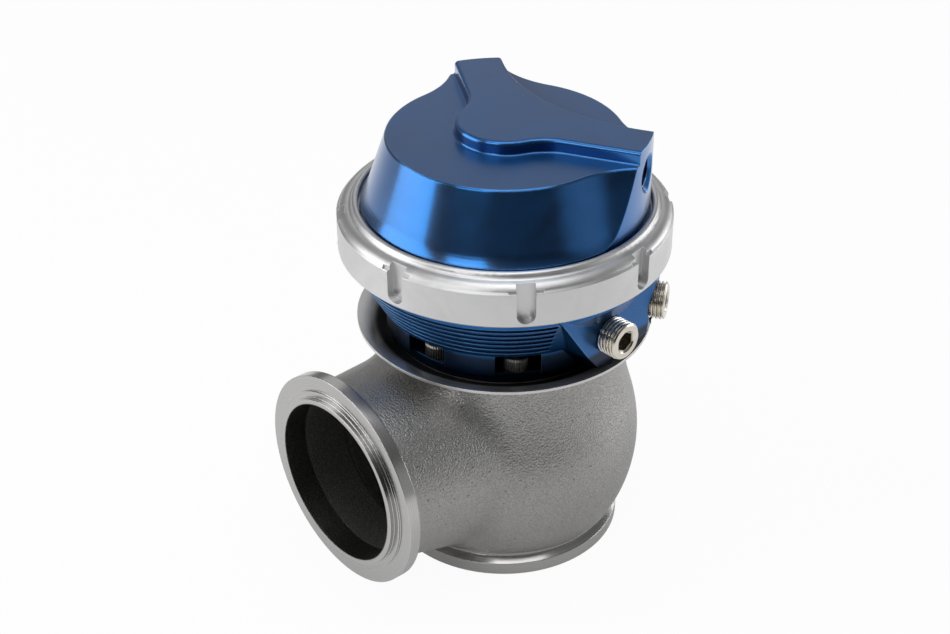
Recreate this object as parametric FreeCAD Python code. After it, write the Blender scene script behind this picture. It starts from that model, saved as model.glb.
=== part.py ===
# External turbo wastegate with V-band flanges and a screwed actuator.
# Millimetres. +Z is the valve axis, up. The origin is the centre of the
# inlet flange's lower face. The outlet points along -X.
import FreeCAD
import Part
import math
import os
from FreeCAD import Vector

os.makedirs("parts", exist_ok=True)

# Valve body, a casting with two machined flanges
bulb_radius = 38.2
bulb_stretch = 3.8
bulb_center_z = 28.5
casting_wall = 4.2
casting_bottom_z = 7.2
body_top_z = 62.6
body_neck_radius = 32.0
neck_start_z = 42.0
chamber_roof_z = 54.0
guide_boss_radius = 10.5
guide_boss_bottom_z = 46.5

# Outlet pipe and its flange
outlet_axis_z = 36.9
outlet_bore_radius = 22.5
outlet_pipe_radius = 25.3
outlet_face_x = 57.8
outlet_spigot_length = 1.85
outlet_spigot_radius = 23.9
outlet_step_radius = 25.7
outlet_step_length = 0.6
outlet_flange_radius = 29.85
outlet_rim_width = 3.3
outlet_cone_length = 1.7
outlet_land_step = 0.4
outlet_bore_straight = 19.0
pipe_swell_start_x = 53.5
pipe_swell_end_x = 14.0
pipe_swell_drop = 5.4
pipe_swell_radius = 30.7
pipe_root_fillet = 12.0
passage_drop = 6.0

# Inlet flange
inlet_flange_radius = 33.15
inlet_rim_width = 3.5
flange_cone_width = 2.0
inlet_cone_height = 1.4
inlet_land_radius = 31.2

# Valve seat ring
seat_ring_radius = 27.95
seat_ring_height = 8.0
seat_ring_clearance = 0.05
seat_throat_radius = 22.5
seat_throat_height = 6.0
seat_cone_width = 2.0
seat_gap = 0.3
throat_above_seat_radius = 25.9

# Valve
valve_head_overlap = 1.8
valve_head_edge = 1.2
valve_tulip_height = 9.0
stem_radius = 4.0
stem_thread_radius = 3.5
stem_end_length = 3.6

# Valve guide
guide_radius = 7.0
guide_length = 21.5
guide_clearance = 0.04
guide_bottom_z = 45.5
hole_clearance = 0.05

# Heat shield dish
shield_thickness = 0.8
shield_floor_margin = 0.9
shield_bend_radius = 1.6
shield_flare_width = 3.5
shield_flare_rise = 2.3
shield_rim_width = 4.46
shield_rim_rise = 3.7

# Base gasket
gasket_thickness = 0.6
gasket_margin = 0.4

# Lower housing
housing_base_radius = 31.4
housing_base_height = 3.0
housing_neck_step = 8.4
skirt_step = 1.6
skirt_height = 7.0
skirt_pocket_width = 12.0
skirt_pocket_corner = 3.0
fin_cone_height = 14.5
fin_cone_step = 1.4
fin_count = 6
fin_pitch = 2.0
fin_groove_width = 1.1
fin_groove_depth = 1.3
fin_first_groove_rise = 2.1
fin_gap_half_angle = 41.5
housing_thread_height = 6.5
housing_shoulder_height = 2.0
housing_shoulder_step = 0.2875
housing_wall = 7.7
bowl_floor_thickness = 6.0
bowl_floor_radius = 22.0
bowl_cone_height = 11.0

# Port block of the lower housing, with its two ports
port_block_angle = -70.75
port_spread = 30.5
port_axis_rise = 2.5
port_block_top_step = 1.2
port_block_bottom_rise = 0.4
port_block_bevel = 3.3
port_block_top_half_width = 28.5
port_block_low_half_width = 17.0
port_block_low_rise = 3.6
port_block_corner = 4.0
port_flat_depth = 2.8
port_spotface_radius = 6.5
port_spotface_depth = 2.2
port_tap_radius = 4.37
port_tap_depth = 11.0
port_drill_radius = 2.6

# Port plugs
plug_thread_radius = 5.14
plug_recess_clearance = 0.35
plug_shown_length = 5.6
plug_engaged_length = 4.0
plug_edge = 0.6
plug_socket_flats = 4.8
plug_socket_depth = 4.5

# Housing screws
screw_count = 6
screw_spacing = 45.0
screw_circle_step = 3.4
screw_first_angle = 10.0
screw_shank_radius = 2.0
screw_head_radius = 3.4
screw_head_height = 4.0
screw_grip_in_body = 4.5
screw_socket_flats = 3.0
screw_socket_depth = 2.2

# Stem seal and its circlip
seal_pocket_radius = 8.0
seal_pocket_depth = 4.0
seal_height = 2.6
seal_clearance = 0.06
circlip_thickness = 0.8
circlip_inner_radius = 6.2
circlip_gap_width = 4.0

# Piston, diaphragm, clamp plate, washer and nut
piston_drop = 6.5
piston_gap = 6.5
piston_thickness = 3.0
piston_rim_depth = 3.0
piston_rim_width = 2.2
diaphragm_thickness = 1.2
diaphragm_bead_step = 1.2
diaphragm_fold_gap = 0.4
diaphragm_fold_rise = 1.0
diaphragm_wall_drop = 2.2
clamp_plate_step = 1.5
clamp_plate_thickness = 2.0
washer_radius = 7.6
washer_thickness = 1.2
nut_flats = 11.0
nut_height = 6.0

# Springs
outer_spring_inset = 3.7
outer_spring_wire = 3.2
outer_spring_turns = 4.5
inner_spring_inset = 7.2
inner_spring_wire = 2.4
inner_spring_turns = 5.5
spring_wire_sides = 8

# Cap
cap_flange_step = 0.6
cap_flange_height = 3.2
cap_boss_step = 3.0
cap_crown_height = 20.8
cap_crown_step = 6.85
cap_edge_bevel = 0.4
cap_draft = 0.335
cap_cove_height = 3.2
cap_cove_steps = 4
cap_wall = 4.0
cap_roof = 3.6
cap_boss_angle = 60.0
cap_boss_cove = 25.0
cap_boss_half_width = 6.35
cap_port_drop = 5.1
cap_port_tap_radius = 4.37
cap_port_bevel = 1.1
cap_port_tap_depth = 8.2
cap_port_drill_radius = 1.4

# Raised web across the cap
web_height = 3.7
web_edge_radius = 1.1
web_foot_radius = 0.6
web_nose_radius = 13.1
web_arm_half_width = 6.6
web_nose_cove = 14.5
web_back_x = 15.9

# Locking collar and slip ring
collar_radius = 44.6
collar_shoulder_gap = 0.8
collar_band_height = 9.8
collar_edge_bevel = 0.5
collar_wall = 3.32
collar_lip_clearance = 0.67
collar_lip_height = 2.75
collar_thread_clearance = 0.08
collar_slot_count = 8
collar_slot_first_angle = 10.5
collar_slot_width = 4.8
collar_slot_depth = 2.3
collar_slot_bottom_rise = 1.2
collar_notch_width = 8.8
collar_notch_depth = 1.1
collar_shoulder_step = 0.55
collar_shoulder_foot_rise = 0.35
collar_shoulder_width = 2.75
collar_shoulder_rise = 2.05
collar_shoulder_bulge = 0.45
collar_lip_foot_width = 0.7
collar_lip_foot_rise = 0.8
collar_lip_foot_hollow = 0.1
collar_lip_crest = 0.85
collar_lip_edge_drop = 0.45
slip_ring_thickness = 0.6
slip_ring_clearance = 0.3

# A length that is more than any cutter needs to reach
cutter_reach = 60.0

# Sizes that follow from the ones above
bulb_half_height = bulb_radius + bulb_stretch
housing_thread_radius = collar_radius - collar_wall - collar_thread_clearance
housing_shoulder_radius = housing_thread_radius + housing_shoulder_step
bowl_radius = housing_thread_radius - housing_wall
port_block_radius = housing_thread_radius
port_block_top_radius = port_block_radius + port_block_top_step
port_flat_distance = port_block_radius - port_flat_depth
port_spotface_distance = port_block_radius - port_spotface_depth
piston_radius = bowl_radius - piston_gap
diaphragm_bead_radius = housing_thread_radius - diaphragm_bead_step
clamp_plate_radius = piston_radius - clamp_plate_step
outer_spring_radius = clamp_plate_radius - outer_spring_inset
inner_spring_radius = outer_spring_radius - inner_spring_inset
cap_flange_radius = housing_thread_radius - cap_flange_step
cap_boss_radius = housing_thread_radius - cap_boss_step
cap_top_radius = cap_boss_radius - cap_crown_step
collar_lip_radius = cap_boss_radius + collar_lip_clearance
collar_notch_radius = collar_radius - collar_notch_depth
collar_shoulder_radius = collar_radius - collar_shoulder_step
collar_shoulder_top_radius = collar_shoulder_radius - collar_shoulder_width
shield_floor_z = body_top_z
shield_floor_radius = housing_base_radius + shield_floor_margin
shield_flare_radius = shield_floor_radius + shield_flare_width
shield_rim_radius = shield_flare_radius + shield_rim_width
gasket_width_radius = housing_base_radius - gasket_margin
gasket_bottom_z = shield_floor_z + shield_thickness
housing_bottom_z = gasket_bottom_z + gasket_thickness
housing_base_top_z = housing_bottom_z + housing_base_height
housing_neck_radius = housing_base_radius - housing_neck_step
screw_circle_radius = housing_base_radius - screw_circle_step
skirt_radius = housing_base_radius + skirt_step
fin_cone_bottom_z = housing_base_top_z + skirt_height
fin_cone_bottom_radius = skirt_radius + fin_cone_step
fin_cone_slope = (housing_shoulder_radius - fin_cone_bottom_radius) / (fin_cone_height - housing_shoulder_height)
housing_shoulder_z = fin_cone_bottom_z + fin_cone_height
bowl_floor_z = housing_base_top_z + bowl_floor_thickness
bowl_cone_top_z = bowl_floor_z + bowl_cone_height
port_axis_z = fin_cone_bottom_z + port_axis_rise
port_block_bottom_z = housing_base_top_z + port_block_bottom_rise
port_block_low_z = port_block_bottom_z + port_block_low_rise
housing_top_z = housing_shoulder_z + housing_thread_height
housing_height = housing_top_z - housing_bottom_z
piston_bottom_z = housing_shoulder_z - piston_drop
diaphragm_bottom_z = piston_bottom_z + piston_thickness
plate_bottom_z = diaphragm_bottom_z + diaphragm_thickness
plate_top_z = plate_bottom_z + clamp_plate_thickness
nut_bottom_z = plate_top_z + washer_thickness
stem_top_z = nut_bottom_z + nut_height + stem_end_length
cap_bottom_z = housing_top_z + diaphragm_thickness
cap_flange_top_z = cap_bottom_z + cap_flange_height
slip_ring_top_z = cap_flange_top_z + slip_ring_thickness
collar_bottom_z = housing_shoulder_z + collar_shoulder_gap
collar_top_z = slip_ring_top_z + collar_lip_height
cap_top_z = slip_ring_top_z + cap_crown_height
cap_port_z = cap_top_z - cap_port_drop
cap_ceiling_z = cap_top_z - cap_roof
web_top_z = cap_top_z + web_height
axis_z = Vector(0, 0, 1)
origin = Vector(0, 0, 0)


def point(radius, z):
    return Vector(radius, 0, z)


def revolve(points, degrees=360.0):
    """Turn a closed outline in the XZ plane about the valve axis."""
    wire = Part.makePolygon([point(r, z) for r, z in points] + [point(*points[0])])
    return Part.Face(wire).revolve(origin, axis_z, degrees)


def revolve_path(start, steps):
    """Turn an outline of lines and arcs: a step is an end, or a middle and an end."""
    edges = []
    here = point(*start)
    for step in steps + [start]:
        if isinstance(step[0], tuple):
            middle, end = point(*step[0]), point(*step[1])
            edges.append(Part.Arc(here, middle, end).toShape())
        else:
            end = point(*step)
            edges.append(Part.makeLine(here, end))
        here = end
    return Part.Face(Part.Wire(edges)).revolve(origin, axis_z, 360)


def bulged_arc(start, end, bulge):
    """Middle and end of an arc that stands off its chord by bulge."""
    along = Vector(end[0] - start[0], end[1] - start[1], 0).normalize()
    middle = ((start[0] + end[0]) / 2 + along.y * bulge, (start[1] + end[1]) / 2 - along.x * bulge)
    return (middle, end)


def cylinder(radius, low_z, high_z):
    return Part.makeCylinder(radius, high_z - low_z, Vector(0, 0, low_z))


def ring(outer_radius, inner_radius, low_z, high_z):
    return cylinder(outer_radius, low_z, high_z).cut(
        cylinder(inner_radius, low_z - 1, high_z + 1))


def turned(shape, degrees):
    copy = shape.copy()
    copy.rotate(origin, axis_z, degrees)
    return copy


def radial_cylinder(radius, start, end, degrees, z):
    """A cylinder that lies along a horizontal radius."""
    rod = Part.makeCylinder(radius, end - start, Vector(start, 0, z), Vector(1, 0, 0))
    return turned(rod, degrees)


def radial_cone(radius_1, radius_2, start, end, degrees, z):
    cone = Part.makeCone(radius_1, radius_2, end - start, Vector(start, 0, z), Vector(1, 0, 0))
    return turned(cone, degrees)


def hexagon(flats, low, high, center, direction):
    """A hexagonal prism between two distances along a direction."""
    side = Vector(0, 0, 1) if abs(direction.z) < 0.5 else Vector(1, 0, 0)
    other = direction.cross(side)
    corner = flats / math.sqrt(3)
    start = center + direction * low
    points = []
    for index in range(7):
        angle = math.radians(60 * index)
        points.append(start + side * (corner * math.cos(angle)) + other * (corner * math.sin(angle)))
    return Part.Face(Part.makePolygon(points)).extrude(direction * (high - low))


def save(name, shape):
    shape = shape.removeSplitter()
    solids = shape.Solids
    result = solids[0] if len(solids) == 1 else Part.makeCompound(solids)
    if len(solids) != 1:
        print("check", name, "has", len(solids), "solids")
    result.exportStep("parts/" + name + ".step")
    print(name, "volume", round(result.Volume, 1), "valid", result.isValid())
    return result


def half_ellipse_solid(radius, half_height, low_z, high_z):
    """The bulb: an ellipse turned about the valve axis, cut between two heights."""
    ellipse = Part.Ellipse(
        Vector(0, 0, bulb_center_z + half_height),
        Vector(radius, 0, bulb_center_z),
        Vector(0, 0, bulb_center_z))
    arc = Part.ArcOfEllipse(ellipse, -math.pi, 0)
    edge = arc.toShape()
    if edge.CenterOfMass.x < 0:
        edge = Part.ArcOfEllipse(ellipse, 0, math.pi).toShape()
    ends = [vertex.Point for vertex in edge.Vertexes]
    wire = Part.Wire([edge, Part.makeLine(ends[1], ends[0])])
    solid = Part.Face(wire).revolve(origin, axis_z, 360)
    return solid.common(cylinder(radius * 2, low_z, high_z))


def pipe_circle(radius, x, z):
    return Part.Wire([Part.makeCircle(radius, Vector(-x, 0, z), Vector(-1, 0, 0))])


def pipe_loft(radius_1, x_1, z_1, radius_2, x_2, z_2):
    return Part.makeLoft([pipe_circle(radius_1, x_1, z_1), pipe_circle(radius_2, x_2, z_2)], True, True)


def screw_place(index):
    """Place of one housing screw; the side under the port block has none."""
    angle = math.radians(screw_first_angle + screw_spacing * index)
    return Vector(screw_circle_radius * math.cos(angle), screw_circle_radius * math.sin(angle), 0)


def cut_screw_holes(shape, low_z, high_z):
    for index in range(screw_count):
        hole = cylinder(screw_shank_radius + hole_clearance, low_z, high_z)
        hole.translate(screw_place(index))
        shape = shape.cut(hole)
    return shape


def make_bulb():
    """The bulb of the casting with its neck, which leaves it along its own slope."""
    share = (neck_start_z - bulb_center_z) / bulb_half_height
    ellipse = Part.Ellipse(
        Vector(0, 0, bulb_center_z + bulb_half_height),
        Vector(bulb_radius, 0, bulb_center_z),
        Vector(0, 0, bulb_center_z))
    side = Part.ArcOfEllipse(ellipse, math.acos(share), math.pi).toShape()
    start_radius = bulb_radius * math.sqrt(1 - share ** 2)
    start_slope = bulb_radius ** 2 * share / (bulb_half_height * start_radius)
    start = (start_radius, neck_start_z)
    end = (body_neck_radius, body_top_z)
    length = math.hypot(end[0] - start[0], end[1] - start[1])
    turn = math.atan(start_slope) - math.atan((start[0] - end[0]) / (end[1] - start[1]))
    middle, end = bulged_arc(start, end, -length / 2 * math.tan(turn / 2))
    neck = Part.Arc(point(*start), point(*middle), point(*end)).toShape()
    top = Part.makeLine(point(*end), point(0, body_top_z))
    middle_line = Part.makeLine(point(0, body_top_z), point(0, bulb_center_z - bulb_half_height))
    wire = Part.Wire(Part.__sortEdges__([side, neck, top, middle_line]))
    return Part.Face(wire).revolve(origin, axis_z, 360)


def make_valve_body():
    # The bulb, with the outlet pipe swelling towards it
    bulb = make_bulb()
    pipe = pipe_loft(outlet_pipe_radius, pipe_swell_start_x, outlet_axis_z,
                     pipe_swell_radius, pipe_swell_end_x, outlet_axis_z - pipe_swell_drop)
    casting = bulb.fuse(pipe).removeSplitter()
    seam = [edge for edge in casting.Edges
            if edge.BoundBox.XMin > -pipe_swell_start_x + 1 and edge.BoundBox.XMax < 0
            and edge.BoundBox.YLength > outlet_pipe_radius]
    casting = casting.makeFillet(pipe_root_fillet, seam)
    casting = casting.common(cylinder(2 * outlet_face_x, casting_bottom_z, body_top_z))

    # Machined flanges
    low_radius = inlet_flange_radius
    inlet = revolve([
        (0, 0), (low_radius, 0), (low_radius, inlet_rim_width),
        (low_radius - flange_cone_width, inlet_rim_width + inlet_cone_height),
        (inlet_land_radius, casting_bottom_z + 0.3), (0, casting_bottom_z + 0.3)])
    outlet_profile = [
        (0, 0), (outlet_spigot_radius, 0),
        (outlet_spigot_radius, outlet_spigot_length - outlet_step_length),
        (outlet_step_radius, outlet_spigot_length - outlet_step_length),
        (outlet_step_radius, outlet_spigot_length),
        (outlet_flange_radius, outlet_spigot_length),
        (outlet_flange_radius, outlet_spigot_length + outlet_rim_width),
        (outlet_pipe_radius + outlet_land_step, outlet_spigot_length + outlet_rim_width + outlet_cone_length),
        (0, outlet_spigot_length + outlet_rim_width + outlet_cone_length)]
    outlet = revolve(outlet_profile)
    outlet.rotate(origin, Vector(0, 1, 0), 90)
    outlet.translate(Vector(-outlet_face_x - outlet_spigot_length, 0, outlet_axis_z))
    body = casting.fuse([inlet, outlet])

    # Gas passage: throat, chamber and outlet bore
    chamber = half_ellipse_solid(bulb_radius - casting_wall, bulb_half_height - casting_wall,
                                 seat_ring_height + 2.5, chamber_roof_z)
    straight_end = outlet_face_x + outlet_spigot_length - outlet_bore_straight
    bore = pipe_loft(outlet_bore_radius, outlet_face_x + outlet_spigot_length + 1, outlet_axis_z,
                     outlet_bore_radius, straight_end, outlet_axis_z)
    bend = pipe_loft(outlet_bore_radius, straight_end, outlet_axis_z,
                     outlet_bore_radius, bulb_radius / 2, outlet_axis_z - passage_drop)
    passage = chamber.fuse([bore, bend, cylinder(throat_above_seat_radius, 0, seat_ring_height + 3)])
    boss = cylinder(guide_boss_radius, guide_boss_bottom_z, body_top_z)
    body = body.cut(passage.cut(boss))
    body = body.fuse(boss.common(cylinder(guide_boss_radius, guide_boss_bottom_z, body_top_z)))
    body = body.cut(cylinder(seat_ring_radius + seat_ring_clearance, -1, seat_ring_height))
    body = body.cut(cylinder(guide_radius, guide_boss_bottom_z - 5, body_top_z + 1))
    return cut_screw_holes(body, body_top_z - screw_grip_in_body - 1, body_top_z + 1)


def make_valve_seat():
    top_radius = seat_throat_radius + seat_cone_width
    return revolve([
        (seat_throat_radius, 0), (seat_ring_radius, 0), (seat_ring_radius, seat_ring_height),
        (top_radius, seat_ring_height), (seat_throat_radius, seat_throat_height)])


def make_valve():
    # Poppet with a 45 degree face, a tulip back and a stepped stem
    bottom = seat_throat_height + seat_gap
    rim_radius = seat_throat_radius + valve_head_overlap
    rim_z = bottom + valve_head_overlap
    edge_z = rim_z + valve_head_edge
    neck_z = edge_z + valve_tulip_height
    points = [(0, bottom), (seat_throat_radius, bottom), (rim_radius, rim_z), (rim_radius, edge_z)]
    steps = 8
    for index in range(1, steps + 1):
        angle = math.radians(90.0 * index / steps)
        points.append((rim_radius - (rim_radius - stem_radius) * math.sin(angle),
                       neck_z - (neck_z - edge_z) * math.cos(angle)))
    points += [(stem_radius, piston_bottom_z), (stem_thread_radius, piston_bottom_z),
               (stem_thread_radius, stem_top_z - 0.6), (stem_thread_radius - 0.6, stem_top_z),
               (0, stem_top_z)]
    return revolve(points)


def make_valve_guide():
    top = guide_bottom_z + guide_length
    return ring(guide_radius - hole_clearance, stem_radius + guide_clearance, guide_bottom_z, top)


def make_heat_shield():
    low = shield_floor_z
    t = shield_thickness
    hole = guide_radius + 0.5
    bend = shield_bend_radius
    flare = (shield_flare_radius, low + t + shield_flare_rise)
    rim = (shield_rim_radius, low + t + shield_rim_rise)
    foot = (shield_floor_radius - bend, low + t)
    rise = (shield_floor_radius + bend, low + t + shield_flare_rise * bend / (shield_flare_radius - shield_floor_radius))

    def lowered(place):
        return (place[0] + t / 4, place[1] - t)

    shield = revolve_path((hole, low + t), [
        foot, bulged_arc(foot, rise, bend / 6), flare, bulged_arc(flare, rim, -bend / 4),
        (rim[0], rim[1] - t), bulged_arc((rim[0], rim[1] - t), lowered(flare), bend / 4),
        lowered(rise), bulged_arc(lowered(rise), lowered(foot), -bend / 6), (hole, low)])
    return cut_screw_holes(shield, low - 1, low + t + 1)


def make_base_gasket():
    gasket = ring(gasket_width_radius, guide_radius + 0.5, gasket_bottom_z, housing_bottom_z)
    return cut_screw_holes(gasket, gasket_bottom_z - 1, housing_bottom_z + 1)


def cone_radius(z):
    return fin_cone_bottom_radius + fin_cone_slope * (z - fin_cone_bottom_z)


def make_port_block():
    """The block that stands out of the fins and carries both ports."""
    top = housing_shoulder_z
    outline = [
        (bowl_floor_radius + 1, port_block_bottom_z),
        (port_block_radius - port_block_bevel, port_block_bottom_z),
        (port_block_radius, port_block_bottom_z + port_block_bevel * 0.9),
        (port_block_top_radius, top), (bowl_floor_radius + 1, top)]
    turned_ring = revolve(outline)
    low = port_block_bottom_z - 1
    points = [
        Vector(0, -port_block_low_half_width + port_block_corner, low),
        Vector(0, port_block_low_half_width - port_block_corner, low),
        Vector(0, port_block_low_half_width - port_block_corner / 2, port_block_low_z - port_block_corner / 2),
        Vector(0, port_block_low_half_width + 0.8, port_block_low_z + 1.5),
        Vector(0, port_block_top_half_width, top),
        Vector(0, -port_block_top_half_width, top),
        Vector(0, -port_block_low_half_width - 0.8, port_block_low_z + 1.5),
        Vector(0, -port_block_low_half_width + port_block_corner / 2, port_block_low_z - port_block_corner / 2)]
    prism = Part.Face(Part.makePolygon(points + [points[0]])).extrude(Vector(cutter_reach, 0, 0))
    block = turned_ring.common(turned(prism, port_block_angle))
    flat_angle = port_block_angle - port_spread / 2
    flat = Part.makeBox(cutter_reach, cutter_reach, cutter_reach,
                        Vector(port_flat_distance, -cutter_reach / 2, port_block_bottom_z - port_block_corner))
    block = block.cut(turned(flat, flat_angle))
    spot = radial_cylinder(port_spotface_radius, port_spotface_distance, cutter_reach,
                           port_block_angle + port_spread / 2, port_axis_z)
    return block.cut(spot)


def make_lower_housing():
    # Base, neck, castellated skirt and finned cone
    shoulder_low_z = housing_shoulder_z - housing_shoulder_height
    turned_body = revolve([
        (0, housing_bottom_z), (housing_base_radius, housing_bottom_z),
        (housing_base_radius, housing_base_top_z), (skirt_radius, housing_base_top_z),
        (skirt_radius, fin_cone_bottom_z), (fin_cone_bottom_radius, fin_cone_bottom_z),
        (housing_shoulder_radius, shoulder_low_z), (housing_shoulder_radius, housing_shoulder_z),
        (housing_thread_radius, housing_shoulder_z), (housing_thread_radius, housing_top_z),
        (0, housing_top_z)])
    body = turned_body
    smooth_side = Part.makeCylinder(cutter_reach, housing_height, Vector(0, 0, housing_bottom_z), axis_z,
                                    2 * fin_gap_half_angle)
    smooth_side = turned(smooth_side, port_block_angle - fin_gap_half_angle)
    for index in range(fin_count):
        z = fin_cone_bottom_z + fin_first_groove_rise + fin_pitch * index
        groove = ring(cutter_reach, cone_radius(z) - fin_groove_depth, z - fin_groove_width / 2,
                      z + fin_groove_width / 2)
        body = body.cut(groove.cut(smooth_side))
    # Pockets that leave the castellations of the skirt
    pocket = Part.makeBox(cutter_reach, skirt_pocket_width, fin_cone_bottom_z - housing_base_top_z,
                          Vector(housing_neck_radius, -skirt_pocket_width / 2, housing_base_top_z))
    inner = [edge for edge in pocket.Edges
             if edge.BoundBox.XMax < housing_neck_radius + 0.1 and edge.BoundBox.ZLength > 1]
    pocket = pocket.makeFillet(skirt_pocket_corner, inner)
    for index in range(screw_count):
        body = body.cut(turned(pocket, screw_first_angle + screw_spacing * index))
    body = body.fuse(make_port_block())
    # Diaphragm bowl, stem hole and seal pocket
    bowl = revolve([
        (0, bowl_floor_z), (bowl_floor_radius, bowl_floor_z), (bowl_radius, bowl_cone_top_z),
        (bowl_radius, housing_top_z + 1), (0, housing_top_z + 1)])
    body = body.cut(bowl)
    guide_top = guide_bottom_z + guide_length
    body = body.cut(cylinder(guide_radius + hole_clearance, housing_bottom_z - 1, guide_top + 0.5))
    body = body.cut(cylinder(stem_radius + 2 * hole_clearance, housing_bottom_z, bowl_floor_z + 1))
    body = body.cut(cylinder(seal_pocket_radius, bowl_floor_z - seal_pocket_depth, bowl_floor_z + 1))
    body = cut_screw_holes(body, housing_bottom_z - 1, housing_base_top_z + 1)
    for side, distance in ((-1, port_flat_distance), (1, port_spotface_distance)):
        angle = port_block_angle + side * port_spread / 2
        body = body.cut(radial_cylinder(plug_thread_radius + plug_recess_clearance, distance, cutter_reach,
                                        angle, port_axis_z))
        body = body.cut(radial_cylinder(port_tap_radius, distance - port_tap_depth, distance + 5,
                                        angle, port_axis_z))
        body = body.cut(radial_cylinder(port_drill_radius, bowl_floor_radius - 2, distance, angle, port_axis_z))
    return body


def make_screw(index):
    """A socket cap screw that stands in one pocket of the skirt."""
    seat = housing_base_top_z
    screw = cylinder(screw_head_radius, seat, seat + screw_head_height)
    screw = screw.fuse(cylinder(screw_shank_radius, body_top_z - screw_grip_in_body, seat + 1))
    top = seat + screw_head_height
    socket = hexagon(screw_socket_flats, -screw_socket_depth, 1, Vector(0, 0, top), axis_z)
    screw = screw.cut(socket)
    screw.translate(screw_place(index))
    return screw


def make_plug(side, distance):
    """A taper plug: the shown thread stands out of the port, the rest is in it."""
    end = distance + plug_shown_length
    plug = radial_cylinder(plug_thread_radius, distance + 0.02, end - plug_edge, 0, port_axis_z)
    plug = plug.fuse(radial_cone(plug_thread_radius, plug_thread_radius - plug_edge,
                                 end - plug_edge, end, 0, port_axis_z))
    plug = plug.fuse(radial_cylinder(port_tap_radius - hole_clearance, distance - plug_engaged_length,
                                     distance + 1, 0, port_axis_z))
    socket = hexagon(plug_socket_flats, end - plug_socket_depth, end + 1,
                     Vector(0, 0, port_axis_z), Vector(1, 0, 0))
    return turned(plug.cut(socket), port_block_angle + side * port_spread / 2)


def make_stem_seal():
    low = bowl_floor_z - seal_pocket_depth
    return ring(seal_pocket_radius - hole_clearance, stem_radius + seal_clearance, low, low + seal_height)


def make_circlip():
    low = bowl_floor_z - seal_pocket_depth + seal_height
    clip = ring(seal_pocket_radius - hole_clearance, circlip_inner_radius, low, low + circlip_thickness)
    gap = Part.makeBox(cutter_reach, circlip_gap_width, seal_pocket_depth,
                       Vector(0, -circlip_gap_width / 2, low - circlip_thickness))
    return clip.cut(turned(gap, 180))


def make_piston():
    low = piston_bottom_z
    rim = piston_radius
    piston = revolve([
        (stem_thread_radius + hole_clearance, low), (rim - piston_rim_width, low),
        (rim - piston_rim_width, low - piston_rim_depth), (rim, low - piston_rim_depth),
        (rim, low + piston_thickness), (stem_thread_radius + hole_clearance, low + piston_thickness)])
    return piston


def make_diaphragm():
    t = diaphragm_thickness
    low = diaphragm_bottom_z
    bead = housing_top_z
    hole = stem_thread_radius + hole_clearance
    gap = diaphragm_fold_gap
    edge = piston_radius + 0.75 * gap
    wall = bowl_radius - gap
    fold_z = low + diaphragm_fold_rise
    wall_z = bead - diaphragm_wall_drop
    lower = [(hole, low), (piston_radius - 2 * gap, low), (edge + t, fold_z), (wall - 4 * gap, wall_z),
             (wall + gap / 2, bead), (diaphragm_bead_radius, bead)]
    upper = [(diaphragm_bead_radius, bead + t), (wall - 1.5 * gap, bead + t), (wall - 7 * gap, wall_z + 2 * gap),
             (edge - gap / 4, fold_z + 1.75 * gap), (piston_radius - 3.5 * gap, low + t), (hole, low + t)]
    return revolve(lower + upper)


def make_clamp_plate():
    hole = stem_thread_radius + hole_clearance
    plate = ring(clamp_plate_radius, hole, plate_bottom_z, plate_top_z)
    seat = ring(inner_spring_radius - inner_spring_wire / 2 - 0.4, washer_radius + 0.6,
                plate_top_z - 0.5, plate_top_z + 1.2)
    return plate.fuse(seat)


def make_nut():
    nut = hexagon(nut_flats, nut_bottom_z, nut_bottom_z + nut_height, origin, axis_z)
    return nut.cut(cylinder(stem_thread_radius + hole_clearance, nut_bottom_z - 1,
                            nut_bottom_z + nut_height + 1))


def make_spring(radius, wire, turns):
    """A coil between the clamp plate and the cap's ceiling."""
    low = plate_top_z + wire / 2 + 0.02
    high = cap_ceiling_z - wire / 2 - 0.3
    pitch = (high - low) / turns
    helix = Part.makeHelix(pitch, high - low, radius)
    helix.translate(Vector(0, 0, low))
    center = Vector(radius, 0, low)
    across = Vector(1, 0, 0)
    along = Vector(0, 1, pitch / (2 * math.pi * radius)).normalize()
    upward = along.cross(across)
    corners = []
    for n in range(spring_wire_sides + 1):
        angle = 2 * math.pi * (n + 0.5) / spring_wire_sides
        corners.append(center + across * (wire / 2 * math.cos(angle)) + upward * (wire / 2 * math.sin(angle)))
    return Part.Wire(helix).makePipeShell([Part.makePolygon(corners)], True, True)


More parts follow.
